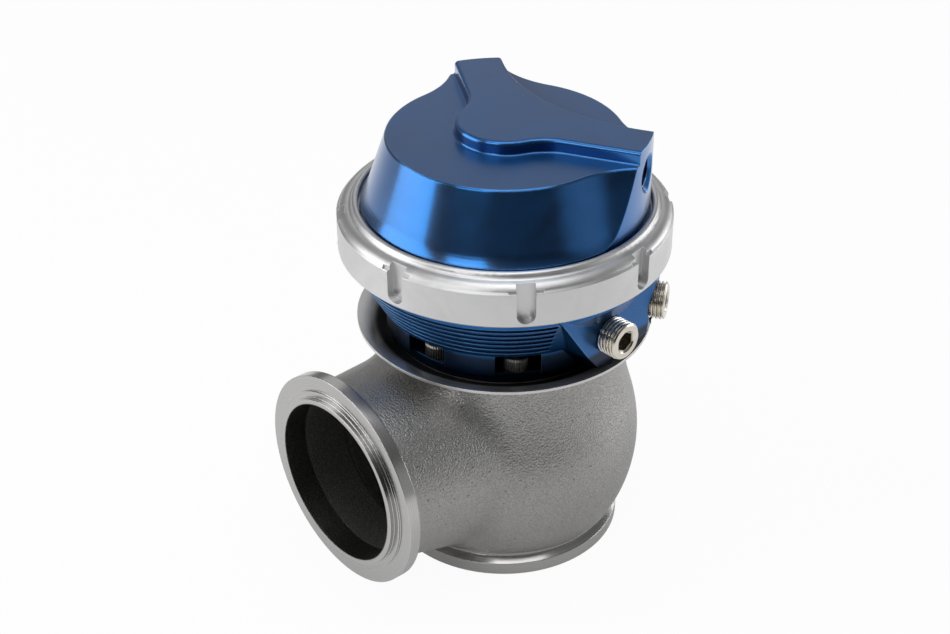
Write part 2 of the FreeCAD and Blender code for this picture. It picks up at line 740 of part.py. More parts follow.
def cap_outline(offset, z):
    """Outline of the cap at one height: a circle with two boss shoulders."""
    radius = cap_top_radius + offset
    cove = cap_boss_cove - offset
    reach = cap_top_radius + cap_boss_cove
    center_x = cap_boss_half_width + cap_boss_cove
    center_angle = math.degrees(math.asin(center_x / reach))
    center_y = reach * math.cos(math.radians(center_angle))
    edges = []

    def at(radius_, degrees):
        angle = math.radians(degrees)
        return Vector(radius_ * math.cos(angle), radius_ * math.sin(angle), z)

    def cove_arc(boss, side, reverse):
        axis = math.radians(boss)
        along = Vector(math.cos(axis), math.sin(axis), 0)
        across = Vector(-math.sin(axis), math.cos(axis), 0) * side
        center = along * center_y + across * center_x + Vector(0, 0, z)
        far = center - across * cove
        near = at(radius, boss + side * center_angle)
        middle_direction = (far - center).normalize() + (near - center).normalize()
        middle = center + middle_direction.normalize() * cove
        ends = (near, middle, far) if not reverse else (far, middle, near)
        return Part.Arc(*ends).toShape(), far

    low_boss = -cap_boss_angle
    high_boss = cap_boss_angle
    first, far_1 = cove_arc(low_boss, -1, False)
    second, far_2 = cove_arc(low_boss, 1, True)
    third, far_3 = cove_arc(high_boss, -1, False)
    fourth, far_4 = cove_arc(high_boss, 1, True)
    edges.append(first)
    edges.append(Part.makeLine(far_1, far_2))
    edges.append(second)
    edges.append(Part.Arc(at(radius, low_boss + center_angle), at(radius, 0),
                          at(radius, high_boss - center_angle)).toShape())
    edges.append(third)
    edges.append(Part.makeLine(far_3, far_4))
    edges.append(fourth)
    edges.append(Part.Arc(at(radius, high_boss + center_angle), at(radius, 180),
                          at(radius, low_boss - center_angle)).toShape())
    return Part.Wire(edges)


def web_outline(z):
    """Outline of the raised web: a round nose and two arms out to the bosses."""
    half = web_arm_half_width
    nose = web_nose_radius
    cove = web_nose_cove
    arm_along = math.sqrt((nose + cove) ** 2 - (half + cove) ** 2)
    slope = math.sin(math.radians(cap_boss_angle))
    back_cove = (web_back_x - web_arm_half_width / slope) / (1 / slope - 1)
    reach = cap_boss_radius + 4
    edges = []

    def place(boss, along, across):
        axis = math.radians(boss)
        return Vector(along * math.cos(axis) - across * math.sin(axis),
                      along * math.sin(axis) + across * math.cos(axis), z)

    def side_cove(boss, side):
        center = place(boss, arm_along, side * (half + cove))
        start = place(boss, arm_along, side * half)
        flat_center = Vector(center.x, center.y, 0)
        end = flat_center.normalize() * nose + Vector(0, 0, z)
        middle_direction = (start - center).normalize() + (end - center).normalize()
        return start, center + middle_direction.normalize() * cove, end

    top = cap_boss_angle
    start_a, middle_a, end_a = side_cove(top, 1)
    start_b, middle_b, end_b = side_cove(-top, -1)
    back_x = (half + back_cove) / slope
    back_y_point = Vector(back_x, 0, z)
    tangent = Vector(-slope, math.cos(math.radians(top)), 0) * back_cove
    back_high = back_y_point + tangent
    back_low = Vector(back_high.x, -back_high.y, z)
    outer_high = place(top, reach, half)
    inner_high = place(top, reach, -half)
    outer_low = place(-top, reach, -half)
    inner_low = place(-top, reach, half)
    edges.append(Part.Arc(end_a, Vector(-nose, 0, z), end_b).toShape())
    edges.append(Part.Arc(end_b, middle_b, start_b).toShape())
    edges.append(Part.makeLine(start_b, outer_low))
    edges.append(Part.makeLine(outer_low, inner_low))
    edges.append(Part.makeLine(inner_low, back_low))
    edges.append(Part.Arc(back_low, Vector(back_x - back_cove, 0, z), back_high).toShape())
    edges.append(Part.makeLine(back_high, inner_high))
    edges.append(Part.makeLine(inner_high, outer_high))
    edges.append(Part.makeLine(outer_high, start_a))
    edges.append(Part.Arc(start_a, middle_a, end_a).toShape())
    return Part.Wire(edges)


def stack(outline, sections):
    """Join outlines of one family, each given as offset and height."""
    result = None
    for (offset_1, z_1), (offset_2, z_2) in zip(sections, sections[1:]):
        piece = Part.makeLoft([outline(offset_1, z_1), outline(offset_2, z_2)], True, True)
        result = piece if result is None else result.fuse(piece)
    return result


def middle_vertex(edge):
    return Part.Vertex(edge.valueAt((edge.FirstParameter + edge.LastParameter) / 2))


def make_cap():
    # Drafted crown with two bosses
    low = cap_flange_top_z
    foot_offset = cap_boss_radius - cap_top_radius
    cove_z = slip_ring_top_z + 2.4
    draft_offset = cap_draft * (cap_top_z - cove_z - cap_cove_height)
    sections = [(-cap_edge_bevel, cap_top_z), (0, cap_top_z - cap_edge_bevel),
                (draft_offset, cove_z + cap_cove_height)]
    for index in range(1, cap_cove_steps + 1):
        share = index / cap_cove_steps
        extra = (foot_offset - draft_offset - cap_draft * cap_cove_height) * share ** 2
        sections.append((draft_offset + cap_draft * cap_cove_height * share + extra,
                         cove_z + cap_cove_height * (1 - share)))
    crown = stack(cap_outline, sections)
    web = Part.Face(web_outline(cap_top_z - 1)).extrude(Vector(0, 0, web_height + 1))
    rim = [edge for edge in web.Edges if edge.BoundBox.ZMin > web_top_z - 0.01]
    web = web.makeFillet(web_edge_radius, rim)
    upper = crown.fuse(web).common(cylinder(cap_boss_radius, low - 1, web_top_z + 1))
    foot_line = web_outline(cap_top_z)
    foot = [edge for edge in upper.Edges
            if abs(edge.BoundBox.ZMin - cap_top_z) < 0.01 and edge.BoundBox.ZLength < 0.01
            and middle_vertex(edge).distToShape(foot_line)[0] < 0.01]
    upper = upper.makeFillet(web_foot_radius, foot)
    base = cylinder(cap_boss_radius, low - 1, cove_z + 0.05)
    flange = cylinder(cap_flange_radius, cap_bottom_z, cap_flange_top_z)
    cap = upper.fuse([base, flange])
    # Spring chamber
    inside_top = cap_top_radius - cap_wall + 0.5
    cavity = revolve([
        (0, cap_bottom_z - 1), (bowl_radius, cap_bottom_z - 1), (bowl_radius, cap_flange_top_z),
        (inside_top, cap_ceiling_z - 1.5), (inside_top - 1.5, cap_ceiling_z), (0, cap_ceiling_z)])
    cap = cap.cut(cavity)
    for angle in (-cap_boss_angle, cap_boss_angle):
        cap = cap.cut(radial_cylinder(cap_port_tap_radius, cap_boss_radius - cap_port_tap_depth,
                                      cap_boss_radius + 5, angle, cap_port_z))
        cap = cap.cut(radial_cylinder(cap_port_drill_radius, cap_top_radius - 2 * cap_wall, cap_boss_radius,
                                      angle, cap_port_z))
        start = cap_boss_radius - cap_port_bevel
        cap = cap.cut(radial_cone(cap_port_tap_radius, cap_port_tap_radius + 2 * cap_port_bevel,
                                  start, start + 2 * cap_port_bevel, angle, cap_port_z))
    return cap


def make_slip_ring():
    return ring(cap_flange_radius, cap_boss_radius + slip_ring_clearance, cap_flange_top_z, slip_ring_top_z)


def make_collar():
    # Turned profile, from the thread bore round the band to the lip
    band_top = collar_bottom_z + collar_band_height
    bore = housing_thread_radius + collar_thread_clearance
    edge = collar_edge_bevel
    foot = (collar_shoulder_radius, band_top + collar_shoulder_foot_rise)
    shoulder = (collar_shoulder_top_radius, band_top + collar_shoulder_rise)
    lip_foot = (shoulder[0] - collar_lip_foot_width, shoulder[1] + collar_lip_foot_rise)
    crest = (collar_lip_radius + collar_lip_crest, collar_top_z)
    lip_edge = (collar_lip_radius, collar_top_z - collar_lip_edge_drop)
    collar = revolve_path((bore, collar_bottom_z), [
        (collar_radius - edge, collar_bottom_z), (collar_radius, collar_bottom_z + edge),
        (collar_radius, foot[1] - collar_shoulder_step), foot,
        bulged_arc(foot, shoulder, collar_shoulder_bulge),
        bulged_arc(shoulder, lip_foot, -collar_lip_foot_hollow), (crest, lip_edge),
        (collar_lip_radius, slip_ring_top_z), (bore, slip_ring_top_z)])
    # Spanner slots with round ends, and the shallow notch beside each
    low = collar_bottom_z + collar_slot_bottom_rise
    for index in range(collar_slot_count):
        angle = collar_slot_first_angle + 360.0 / collar_slot_count * index
        half = collar_slot_width / 2
        slot = Part.makeBox(cutter_reach, collar_slot_width, cutter_reach,
                            Vector(collar_radius - collar_slot_depth, -half, low + half))
        foot = Part.makeCylinder(half, cutter_reach, Vector(collar_radius - collar_slot_depth, 0, low + half),
                                 Vector(1, 0, 0))
        notch = Part.makeBox(cutter_reach, collar_notch_width, cutter_reach,
                             Vector(collar_notch_radius, -collar_notch_width / 2, band_top))
        collar = collar.cut(turned(slot.fuse([foot, notch]), angle))
    return collar


valve_body = save("valve_body", make_valve_body())
save("valve_seat", make_valve_seat())
save("valve_guide", make_valve_guide())
save("heat_shield", make_heat_shield())
save("base_gasket", make_base_gasket())
save("lower_housing", make_lower_housing())
for number in range(screw_count):
    save("housing_screw_" + str(number + 1), make_screw(number))
save("stem_seal", make_stem_seal())
save("seal_circlip", make_circlip())
save("port_plug_front", make_plug(-1, port_flat_distance))
save("port_plug_side", make_plug(1, port_spotface_distance))
save("valve", make_valve())
save("piston", make_piston())
save("diaphragm", make_diaphragm())
save("clamp_plate", make_clamp_plate())
save("lock_washer", ring(washer_radius, stem_thread_radius + hole_clearance, plate_top_z, nut_bottom_z))
save("lock_nut", make_nut())
save("outer_spring", make_spring(outer_spring_radius, outer_spring_wire, outer_spring_turns))
save("inner_spring", make_spring(inner_spring_radius, inner_spring_wire, inner_spring_turns))
save("cap", make_cap())
save("slip_ring", make_slip_ring())
save("locking_collar", make_collar())
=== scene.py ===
import math

import bmesh
import bpy
from mathutils import Matrix, Vector


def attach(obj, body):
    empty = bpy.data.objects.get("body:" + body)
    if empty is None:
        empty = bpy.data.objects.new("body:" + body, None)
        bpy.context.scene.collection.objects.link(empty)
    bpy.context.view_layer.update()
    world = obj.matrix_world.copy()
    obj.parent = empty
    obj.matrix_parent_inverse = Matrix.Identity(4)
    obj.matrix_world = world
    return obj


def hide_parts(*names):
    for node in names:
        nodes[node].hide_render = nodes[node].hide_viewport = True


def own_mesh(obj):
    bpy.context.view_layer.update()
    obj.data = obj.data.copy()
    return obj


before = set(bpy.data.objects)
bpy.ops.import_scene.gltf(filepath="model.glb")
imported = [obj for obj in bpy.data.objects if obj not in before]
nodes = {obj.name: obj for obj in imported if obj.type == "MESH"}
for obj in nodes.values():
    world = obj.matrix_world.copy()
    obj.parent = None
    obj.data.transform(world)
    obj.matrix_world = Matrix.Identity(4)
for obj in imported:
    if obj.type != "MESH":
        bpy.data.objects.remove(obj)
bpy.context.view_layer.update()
print("frame loaded:", len(nodes), "nodes")

mm = 0.001
upward = (0, 0, 1)

# Camera, at the photograph's viewing angle
cameraSet = {
    "azimuth": -40.498,
    "elevation": 32.797,
    "roll": -0.164,
    "place": (-0.26998, -0.30383, 0.32597),
    "lens": 66.46,
    "sensor": 36,
    "nearest": 0.01,
    "farthest": 20,
}


def makeCamera(values):
    azimuth = math.radians(values["azimuth"])
    elevation = math.radians(values["elevation"])
    roll = math.radians(values["roll"])
    right = Vector((math.cos(azimuth), math.sin(azimuth), 0))
    back = Vector((math.sin(azimuth) * math.cos(elevation), -math.cos(azimuth) * math.cos(elevation),
                   math.sin(elevation)))
    up = back.cross(right)
    rolledRight = right * math.cos(roll) + up * math.sin(roll)
    rolledUp = up * math.cos(roll) - right * math.sin(roll)
    data = bpy.data.cameras.new("camera")
    data.lens = values["lens"]
    data.sensor_width = values["sensor"]
    data.sensor_fit = "HORIZONTAL"
    data.clip_start = values["nearest"]
    data.clip_end = values["farthest"]
    camera = bpy.data.objects.new("camera", data)
    turn = Matrix((rolledRight, rolledUp, back)).transposed().to_4x4()
    camera.matrix_world = Matrix.Translation(Vector(values["place"])) @ turn
    bpy.context.scene.collection.objects.link(camera)
    bpy.context.scene.camera = camera


makeCamera(cameraSet)
print("camera set")


# Node helpers, for shaders and for geometry alike
def addNode(tree, kind, settings=None, inputs=None):
    node = tree.nodes.new(kind)
    for key, value in (settings or {}).items():
        setattr(node, key, value)
    for key, value in (inputs or {}).items():
        feed(tree, node.inputs[key], value)
    return node


def feed(tree, socket, value):
    if isinstance(value, bpy.types.NodeSocket):
        tree.links.new(value, socket)
    else:
        socket.default_value = value


def doMath(tree, operation, first, second=0.0):
    return addNode(tree, "ShaderNodeMath", {"operation": operation}, {0: first, 1: second}).outputs[0]


def times(tree, first, second):
    return doMath(tree, "MULTIPLY", first, second)


def plus(tree, first, second):
    return doMath(tree, "ADD", first, second)


def minus(tree, first, second):
    return doMath(tree, "SUBTRACT", first, second)


def doVector(tree, operation, first, second=None):
    inputs = {0: first} if second is None else {0: first, 1: second}
    return addNode(tree, "ShaderNodeVectorMath", {"operation": operation}, inputs).outputs


def lengthOf(tree, value):
    return doVector(tree, "LENGTH", value)["Value"]


def dotOf(tree, first, second):
    return doVector(tree, "DOT_PRODUCT", first, second)["Value"]


def scaled(tree, colour, factor):
    return addNode(tree, "ShaderNodeVectorMath", {"operation": "SCALE"}, {0: colour, 3: factor}).outputs[0]


def splitXyz(tree, value):
    return addNode(tree, "ShaderNodeSeparateXYZ", inputs={0: value}).outputs


def joinXyz(tree, x=0.0, y=0.0, z=0.0):
    return addNode(tree, "ShaderNodeCombineXYZ", inputs={0: x, 1: y, 2: z}).outputs[0]


def mixColour(tree, factor, first, second):
    return addNode(tree, "ShaderNodeMix", {"data_type": "RGBA"}, {0: factor, 6: first, 7: second}).outputs[2]


# A straight run from low to high as the share goes from 0 to 1
def spread(tree, share, low, high):
    return addNode(tree, "ShaderNodeMapRange", inputs={0: share, 3: low, 4: high}).outputs[0]


# A smooth step as the value goes from low to high
def between(tree, value, low, high, outLow=0.0, outHigh=1.0):
    return addNode(tree, "ShaderNodeMapRange", {"clamp": True, "interpolation_type": "SMOOTHSTEP"},
                   {0: value, 1: low, 2: high, 3: outLow, 4: outHigh}).outputs[0]


def addNoise(tree, place, scale, detail, rough=0.5, warp=0.0):
    return addNode(tree, "ShaderNodeTexNoise", inputs={
        "Vector": place, "Scale": scale, "Detail": detail, "Roughness": rough, "Distortion": warp}).outputs[0]


def newGroup(name, inputs, outputs, kind="ShaderNodeTree"):
    group = bpy.data.node_groups.new(name, kind)
    for socketName, socketKind, value in inputs:
        socket = group.interface.new_socket(socketName, in_out="INPUT", socket_type=socketKind)
        if value is not None:
            socket.default_value = value
    for socketName, socketKind in outputs:
        group.interface.new_socket(socketName, in_out="OUTPUT", socket_type=socketKind)
    start = group.nodes.new("NodeGroupInput")
    end = group.nodes.new("NodeGroupOutput")
    return group, start.outputs, end.inputs


def useGroup(tree, group, inputs, kind="ShaderNodeGroup"):
    node = addNode(tree, kind, {"node_tree": group})
    for key, value in inputs.items():
        feed(tree, node.inputs[key], value)
    return node.outputs


number = "NodeSocketFloat"
vector = "NodeSocketVector"

# Shared effects, each a group with its own values in every material: first the skin of a sand casting
castSkin = {
    "detail": 2.0,
    "fineRough": 0.45,
    "cellShare": 0.7,
    "cellBlend": 0.6,
    "pinholeShare": 0.22,
    "pinholeSize": (0.12, 0.18),
    "pinholePatches": (0.50, 0.62),
    "fineHeight": 0.7,
    "cellHeight": 0.5,
    "lumpHeight": 0.4,
    "pinholeDepth": 0.35,
    "toneRange": (0.30, 0.70),
}


def makeCastGrainGroup(values):
    group, given, result = newGroup(
        "castGrain",
        [("Place", vector, None), ("Grain", number, 1500.0), ("Lump", number, 260.0)],
        [("Height", number), ("Tone", number), ("Pits", number)])
    place = given["Place"]
    fine = addNoise(group, place, given["Grain"], values["detail"], values["fineRough"])
    lump = addNoise(group, place, given["Lump"], values["detail"])
    cells = addNode(group, "ShaderNodeTexVoronoi", {"feature": "SMOOTH_F1"}, {
        "Vector": place, "Scale": times(group, given["Grain"], values["cellShare"]),
        "Smoothness": values["cellBlend"]}).outputs["Distance"]
    pinholes = addNode(group, "ShaderNodeTexVoronoi", {"feature": "F1"}, {
        "Vector": place, "Scale": times(group, given["Grain"], values["pinholeShare"])}).outputs["Distance"]
    pits = times(group, between(group, pinholes, *values["pinholeSize"], 1.0, 0.0),
                 between(group, lump, *values["pinholePatches"]))
    height = minus(group, times(group, fine, values["fineHeight"]), times(group, cells, values["cellHeight"]))
    height = plus(group, height, times(group, lump, values["lumpHeight"]))
    height = minus(group, height, times(group, pits, values["pinholeDepth"]))
    feed(group, result["Height"], height)
    feed(group, result["Tone"], between(group, fine, *values["toneRange"]))
    feed(group, result["Pits"], pits)
    return group


# Tool marks of the lathe, round the axis
toolMarks = {
    "detail": 4.0,
    "rough": 0.7,
    "toneRange": (0.3, 0.7),
}


def makeTurnedLinesGroup(values):
    group, given, result = newGroup(
        "turnedLines",
        [("Place", vector, None), ("Pitch", number, 1.0)],
        [("Height", number), ("Tone", number)])
    x, y, z = splitXyz(group, given["Place"])
    across = plus(group, lengthOf(group, joinXyz(group, x, y)), z)
    along = times(group, across, given["Pitch"])
    lines = addNode(group, "ShaderNodeTexNoise", {"noise_dimensions": "1D"}, {
        "W": along, "Scale": 1.0, "Detail": values["detail"], "Roughness": values["rough"]}).outputs[0]
    feed(group, result["Height"], lines)
    feed(group, result["Tone"], between(group, lines, *values["toneRange"]))
    return group


# Edges made bright: rubbed wear and a painted highlight, with gaps along them
edgeWearAndHighlightValues = {
    "samples": 6,
    "bend": (0.995, 0.86),
    "nibbleScale": 700.0,
    "nibbleDetail": 3.0,
    "nibble": (0.3, 0.6),
}


def makeEdgeGroup(values):
    group, given, result = newGroup(
        "edgeWearAndHighlight",
        [("Place", vector, None), ("Width", number, 0.0004), ("Breakup", number, 0.35)],
        [("Mask", number), ("Normal", vector)])
    rounded = addNode(group, "ShaderNodeBevel", {"samples": values["samples"]},
                      {"Radius": given["Width"]}).outputs[0]
    flat = group.nodes.new("ShaderNodeNewGeometry").outputs["Normal"]
    bend = between(group, dotOf(group, rounded, flat), *values["bend"])
    nibble = addNoise(group, given["Place"], values["nibbleScale"], values["nibbleDetail"])
    least = minus(group, 1.0, given["Breakup"])
    feed(group, result["Mask"], times(group, bend, between(group, nibble, *values["nibble"], least, 1.0)))
    feed(group, result["Normal"], rounded)
    return group


# The film and the specks that handling leaves
touch = {
    "detail": 4.0,
    "rough": 0.6,
    "warp": 0.6,
    "filmRange": (0.3, 0.7),
    "speckScale": 5200.0,
    "speckDetail": 2.0,
}


def makeHandlingGroup(values):
    group, given, result = newGroup(
        "handling",
        [("Place", vector, None), ("Size", number, 60.0)],
        [("Film", number), ("Specks", number)])
    film = addNoise(group, given["Place"], given["Size"], values["detail"], values["rough"], values["warp"])
    specks = addNoise(group, given["Place"], values["speckScale"], values["speckDetail"])
    feed(group, result["Film"], between(group, film, *values["filmRange"]))
    feed(group, result["Specks"], specks)
    return group


castGrain = makeCastGrainGroup(castSkin)
turnedLines = makeTurnedLinesGroup(toolMarks)
edgeWearAndHighlight = makeEdgeGroup(edgeWearAndHighlightValues)
handling = makeHandlingGroup(touch)
print("shared effects made")


def startMaterial(name, constants):
    material = bpy.data.materials.new(name)
    material.use_nodes = True
    tree = material.node_tree
    shader = tree.nodes["Principled BSDF"]
    for key, value in constants.items():
        shader.inputs[key].default_value = value
    place = tree.nodes.new("ShaderNodeTexCoord").outputs["Object"]
    return material, tree, shader, place


# The film, the tool marks and the edges (worn, with a painted highlight) that all the turned metals have
def addTurnedEffects(tree, place, values):
    smudge = useGroup(tree, handling, {"Place": place, "Size": values["filmSize"]})
    lines = useGroup(tree, turnedLines, {"Place": place, "Pitch": values["linePitch"]})
    edge = useGroup(tree, edgeWearAndHighlight, {
        "Place": place, "Width": values["edgeWidth"], "Breakup": values["edgeBreakup"]})
    return smudge, lines, edge


# Turned metal spreads its highlights across the tool marks, which run round the axis
sheenTurn = 0.25
straightMarks = (-0.76, 0.65, 0, 1)


def turnedSheen(tree, shader, place, amount, straight=0.0):
    shader.inputs["Anisotropic"].default_value = amount
    shader.inputs["Anisotropic Rotation"].default_value = sheenTurn
    around = doVector(tree, "NORMALIZE", doVector(tree, "CROSS_PRODUCT", upward, place)[0])[0]
    feed(tree, shader.inputs["Tangent"], mixColour(tree, straight, around, straightMarks))


def makeBump(tree, height, strength, distance, base=None):
    bump = addNode(tree, "ShaderNodeBump", inputs={
        "Strength": strength, "Distance": distance, "Height": height})
    if base is not None:
        feed(tree, bump.inputs["Normal"], base)
    return bump.outputs[0]


# Blue anodised aluminium: blasted on the flat tops, turned on the sides
anodised = {
    "deep": (0.008, 0.110, 0.340, 1),
    "bright": (0.014, 0.152, 0.460, 1),
    # Painted highlight: a light blue along the edges
    "edge": (0.20, 0.42, 0.72, 1),
    "edgeShare": 0.7,
    "edgeWidth": 0.55 * mm,
    "edgeBreakup": 0.3,
    "filmSize": 45.0,
    "filmShare": 0.65,
    "filmRough": 0.05,
    "linePitch": 5200.0,
    "lineShare": 0.35,
    "topFacing": (0.7, 0.95),
    "topRough": 0.56,
    # Painted shade on the flat tops
    "topShade": 0.64,
    "sideRough": 0.19,
    "sideMarks": 0.5,
    "topSpecks": 1.8,
    "bumpStrength": 0.05,
    "bumpDepth": 0.05 * mm,
    # Painted shade on the skirt under the fins
    "skirtTop": 72.8 * mm,
    "skirtShade": 0.10,
    "skirtBlend": 1.0 * mm,
    "housingTop": 95.5 * mm,
    "housingShade": 0.75,
    "housingBlend": 3.0 * mm,
    "threadLead": 1.5 * mm,
    "threadLow": 88.8 * mm,
    "threadHigh": 95.2 * mm,
    "threadRunOut": 0.3 * mm,
    "threadRoot": 40.6 * mm,
    "threadCrest": 40.8 * mm,
    "threadDepth": 0.22 * mm,
    "sheen": 0.75,
    "coat": 0.9,
    "coatRough": 0.30,
    "coatIor": 1.46,
}


# The screw thread under the locking collar, which shows when the collar is screwed up
def makeThreadNormal(tree, place, base, values):
    x, y, z = splitXyz(tree, place)
    turn = minus(tree, times(tree, z, 2 * math.pi / values["threadLead"]), doMath(tree, "ARCTAN2", y, x))
    radius = lengthOf(tree, joinXyz(tree, x, y))
    runOut = values["threadRunOut"]
    onThread = times(tree, between(tree, z, values["threadLow"], values["threadLow"] + runOut),
                     between(tree, z, values["threadHigh"], values["threadHigh"] - runOut))
    onThread = times(tree, onThread, between(tree, radius, values["threadRoot"], values["threadCrest"]))
    ridge = times(tree, doMath(tree, "SINE", turn), onThread)
    return makeBump(tree, ridge, 1.0, values["threadDepth"], base)


def makeAnodised(name, values):
    material, tree, shader, place = startMaterial(name, {
        "Metallic": 1.0, "Coat Weight": values["coat"], "Coat Roughness": values["coatRough"],
        "Coat IOR": values["coatIor"]})
    smudge, lines, edge = addTurnedEffects(tree, place, values)
    facing = tree.nodes.new("ShaderNodeTexCoord").outputs["Normal"]
    top = between(tree, splitXyz(tree, facing)[2], *values["topFacing"])
    turnedSheen(tree, shader, place, values["sheen"], top)
    tone = plus(tree, times(tree, smudge["Film"], values["filmShare"]),
                times(tree, lines["Tone"], values["lineShare"]))
    colour = mixColour(tree, tone, values["deep"], values["bright"])
    # Painted highlight: the edge mask lightens the blue towards light blue
    colour = mixColour(tree, times(tree, edge["Mask"], values["edgeShare"]), colour, values["edge"])
    # Painted shade: the flat tops are darkened to topShade of their colour
    colour = mixColour(tree, top, colour, scaled(tree, colour, values["topShade"]))
    # Painted shade on the skirt under the fins, darkened most; the housing below the cap is darker than the
    # cap overall
    rise = splitXyz(tree, place)[2]
    aboveSkirt = between(
        tree, rise, values["skirtTop"] - values["skirtBlend"], values["skirtTop"] + values["skirtBlend"],
        values["skirtShade"], values["housingShade"])
    inCap = between(tree, rise, values["housingTop"], values["housingTop"] + values["housingBlend"])
    feed(tree, shader.inputs["Base Color"], scaled(tree, colour, spread(tree, inCap, aboveSkirt, 1.0)))
    rough = spread(tree, top, values["sideRough"], values["topRough"])
    film = times(tree, smudge["Film"], values["filmRough"])
    feed(tree, shader.inputs["Roughness"], plus(tree, rough, film))
    side = minus(tree, 1.0, top)
    height = plus(tree, times(tree, lines["Height"], times(tree, side, values["sideMarks"])),
                  times(tree, smudge["Specks"], times(tree, top, values["topSpecks"])))
    thread = makeThreadNormal(tree, place, edge["Normal"], values)
    feed(tree, shader.inputs["Normal"],
         makeBump(tree, height, values["bumpStrength"], values["bumpDepth"], thread))
    return material


# Bare metals that share one build
bareMetals = {
    "collarAluminium": {"dark": (0.56, 0.56, 0.565, 1), "light": (0.68, 0.68, 0.685, 1), "rough": 0.42,
                        "linePitch": 6500.0, "bump": 0.10, "grain": 0.4, "edgeWidth": 0.14 * mm,
                        "sheen": 0.3},
    "machinedAluminium": {"dark": (0.50, 0.50, 0.51, 1), "light": (0.68, 0.68, 0.69, 1), "rough": 0.30,
                          "linePitch": 3600.0, "bump": 0.20, "grain": 0.5, "edgeWidth": 0.3 * mm,
                          "sheen": 0.6},
    "nickelPlate": {"dark": (0.58, 0.54, 0.47, 1), "light": (0.74, 0.70, 0.62, 1), "rough": 0.20,
                    "linePitch": 3000.0, "bump": 0.04, "grain": 0.2, "edgeWidth": 0.12 * mm, "sheen": 0.0,
                    "socketHeadings": (-86.0, -55.5), "socketHeight": 76.5 * mm, "socketRadius": 2.9 * mm,
                    "socketEdge": 0.1 * mm, "socketShade": 0.55},
    # Painted shade: the screws' steel is darkened, as they sit in shaded pockets
    "screwSteelInPaintedShade": {"dark": (0.17, 0.155, 0.135, 1), "light": (0.29, 0.27, 0.24, 1), "rough": 0.30,
                   "linePitch": 2600.0, "bump": 0.08, "grain": 0.2, "edgeWidth": 0.15 * mm, "sheen": 0.0},
    "springSteel": {"dark": (0.26, 0.26, 0.27, 1), "light": (0.46, 0.46, 0.47, 1), "rough": 0.27,
                    "linePitch": 2600.0, "bump": 0.12, "grain": 0.4, "edgeWidth": 0.2 * mm, "sheen": 0.0},
    "seatSteel": {"dark": (0.36, 0.35, 0.34, 1), "light": (0.52, 0.51, 0.49, 1), "rough": 0.26,
                  "linePitch": 3600.0, "bump": 0.15, "grain": 0.4, "edgeWidth": 0.3 * mm, "sheen": 0.5},
    "valveSteel": {"dark": (0.28, 0.26, 0.24, 1), "light": (0.46, 0.44, 0.41, 1), "rough": 0.30,
                   "linePitch": 3200.0, "bump": 0.16, "grain": 0.5, "edgeWidth": 0.3 * mm, "sheen": 0.5},
    "guideBronze": {"dark": (0.36, 0.23, 0.11, 1), "light": (0.58, 0.40, 0.22, 1), "rough": 0.30,
                    "linePitch": 3200.0, "bump": 0.15, "grain": 0.4, "edgeWidth": 0.3 * mm, "sheen": 0.4},
}
bareShared = {
    "filmSize": 80.0,
    "filmRough": 0.08,
    "filmShine": 0.03,
    "edgeBreakup": 0.3,
    "edgeShare": 0.5,
    "edge": (0.88, 0.88, 0.88, 1),
    "bumpDepth": 0.04 * mm,
}


# Shade inside the plugs' hexagon sockets, which are all that lies near a plug's axis
def shadeSockets(tree, place, colour, values):
    fromCentre = doVector(tree, "SUBTRACT", place, (0, 0, values["socketHeight"]))[0]
    for heading in values["socketHeadings"]:
        angle = math.radians(heading)
        across = doVector(tree, "CROSS_PRODUCT", fromCentre, (math.cos(angle), math.sin(angle), 0))[0]
        within = between(tree, lengthOf(tree, across), values["socketRadius"],
                         values["socketRadius"] - values["socketEdge"])
        colour = scaled(tree, colour, spread(tree, within, 1.0, values["socketShade"]))
    return colour


def makeBareMetal(name, values):
    material, tree, shader, place = startMaterial(name, {"Metallic": 1.0})
    if values["sheen"] > 0:
        turnedSheen(tree, shader, place, values["sheen"])
    smudge, lines, edge = addTurnedEffects(tree, place, values)
    tone = plus(tree, times(tree, lines["Tone"], values["grain"]),
                times(tree, smudge["Film"], 1.0 - values["grain"]))
    colour = mixColour(tree, tone, values["dark"], values["light"])
    # Edges lighter: rubbed wear and a painted highlight
    colour = mixColour(tree, times(tree, edge["Mask"], values["edgeShare"]), colour, values["edge"])
    if "socketHeadings" in values:
        colour = shadeSockets(tree, place, colour, values)
    feed(tree, shader.inputs["Base Color"], colour)
    feed(tree, shader.inputs["Roughness"],
         plus(tree, values["rough"] - values["filmShine"], times(tree, smudge["Film"], values["filmRough"])))
    feed(tree, shader.inputs["Normal"],
         makeBump(tree, lines["Height"], values["bump"], values["bumpDepth"], edge["Normal"]))
    return material


# The spun dish: satin flare with a bright lip, painted shade in the bowl
dish = {
    # Painted shade: the bowl is coloured near black
    "bowlShadeDark": (0.045, 0.045, 0.047, 1),
    "bowlShadeLight": (0.085, 0.083, 0.080, 1),
    "flareDark": (0.50, 0.495, 0.48, 1),
    "flareLight": (0.66, 0.655, 0.64, 1),
    "edge": (0.85, 0.85, 0.84, 1),
    "edgeShare": 0.5,
    "edgeWidth": 0.22 * mm,
    "edgeBreakup": 0.2,
    "filmSize": 60.0,
    "filmShare": 0.6,
    "filmRough": 0.05,
    "linePitch": 4200.0,
    "lineShare": 0.4,
    "bowlRough": 0.30,
    "flareRough": 0.34,
    "flareStart": 34.5 * mm,
    "flareFull": 36.2 * mm,
    "undersideFacing": (0.05, -0.05),
    "sheen": 0.55,
    "bump": 0.10,
    "bumpDepth": 0.04 * mm,
}


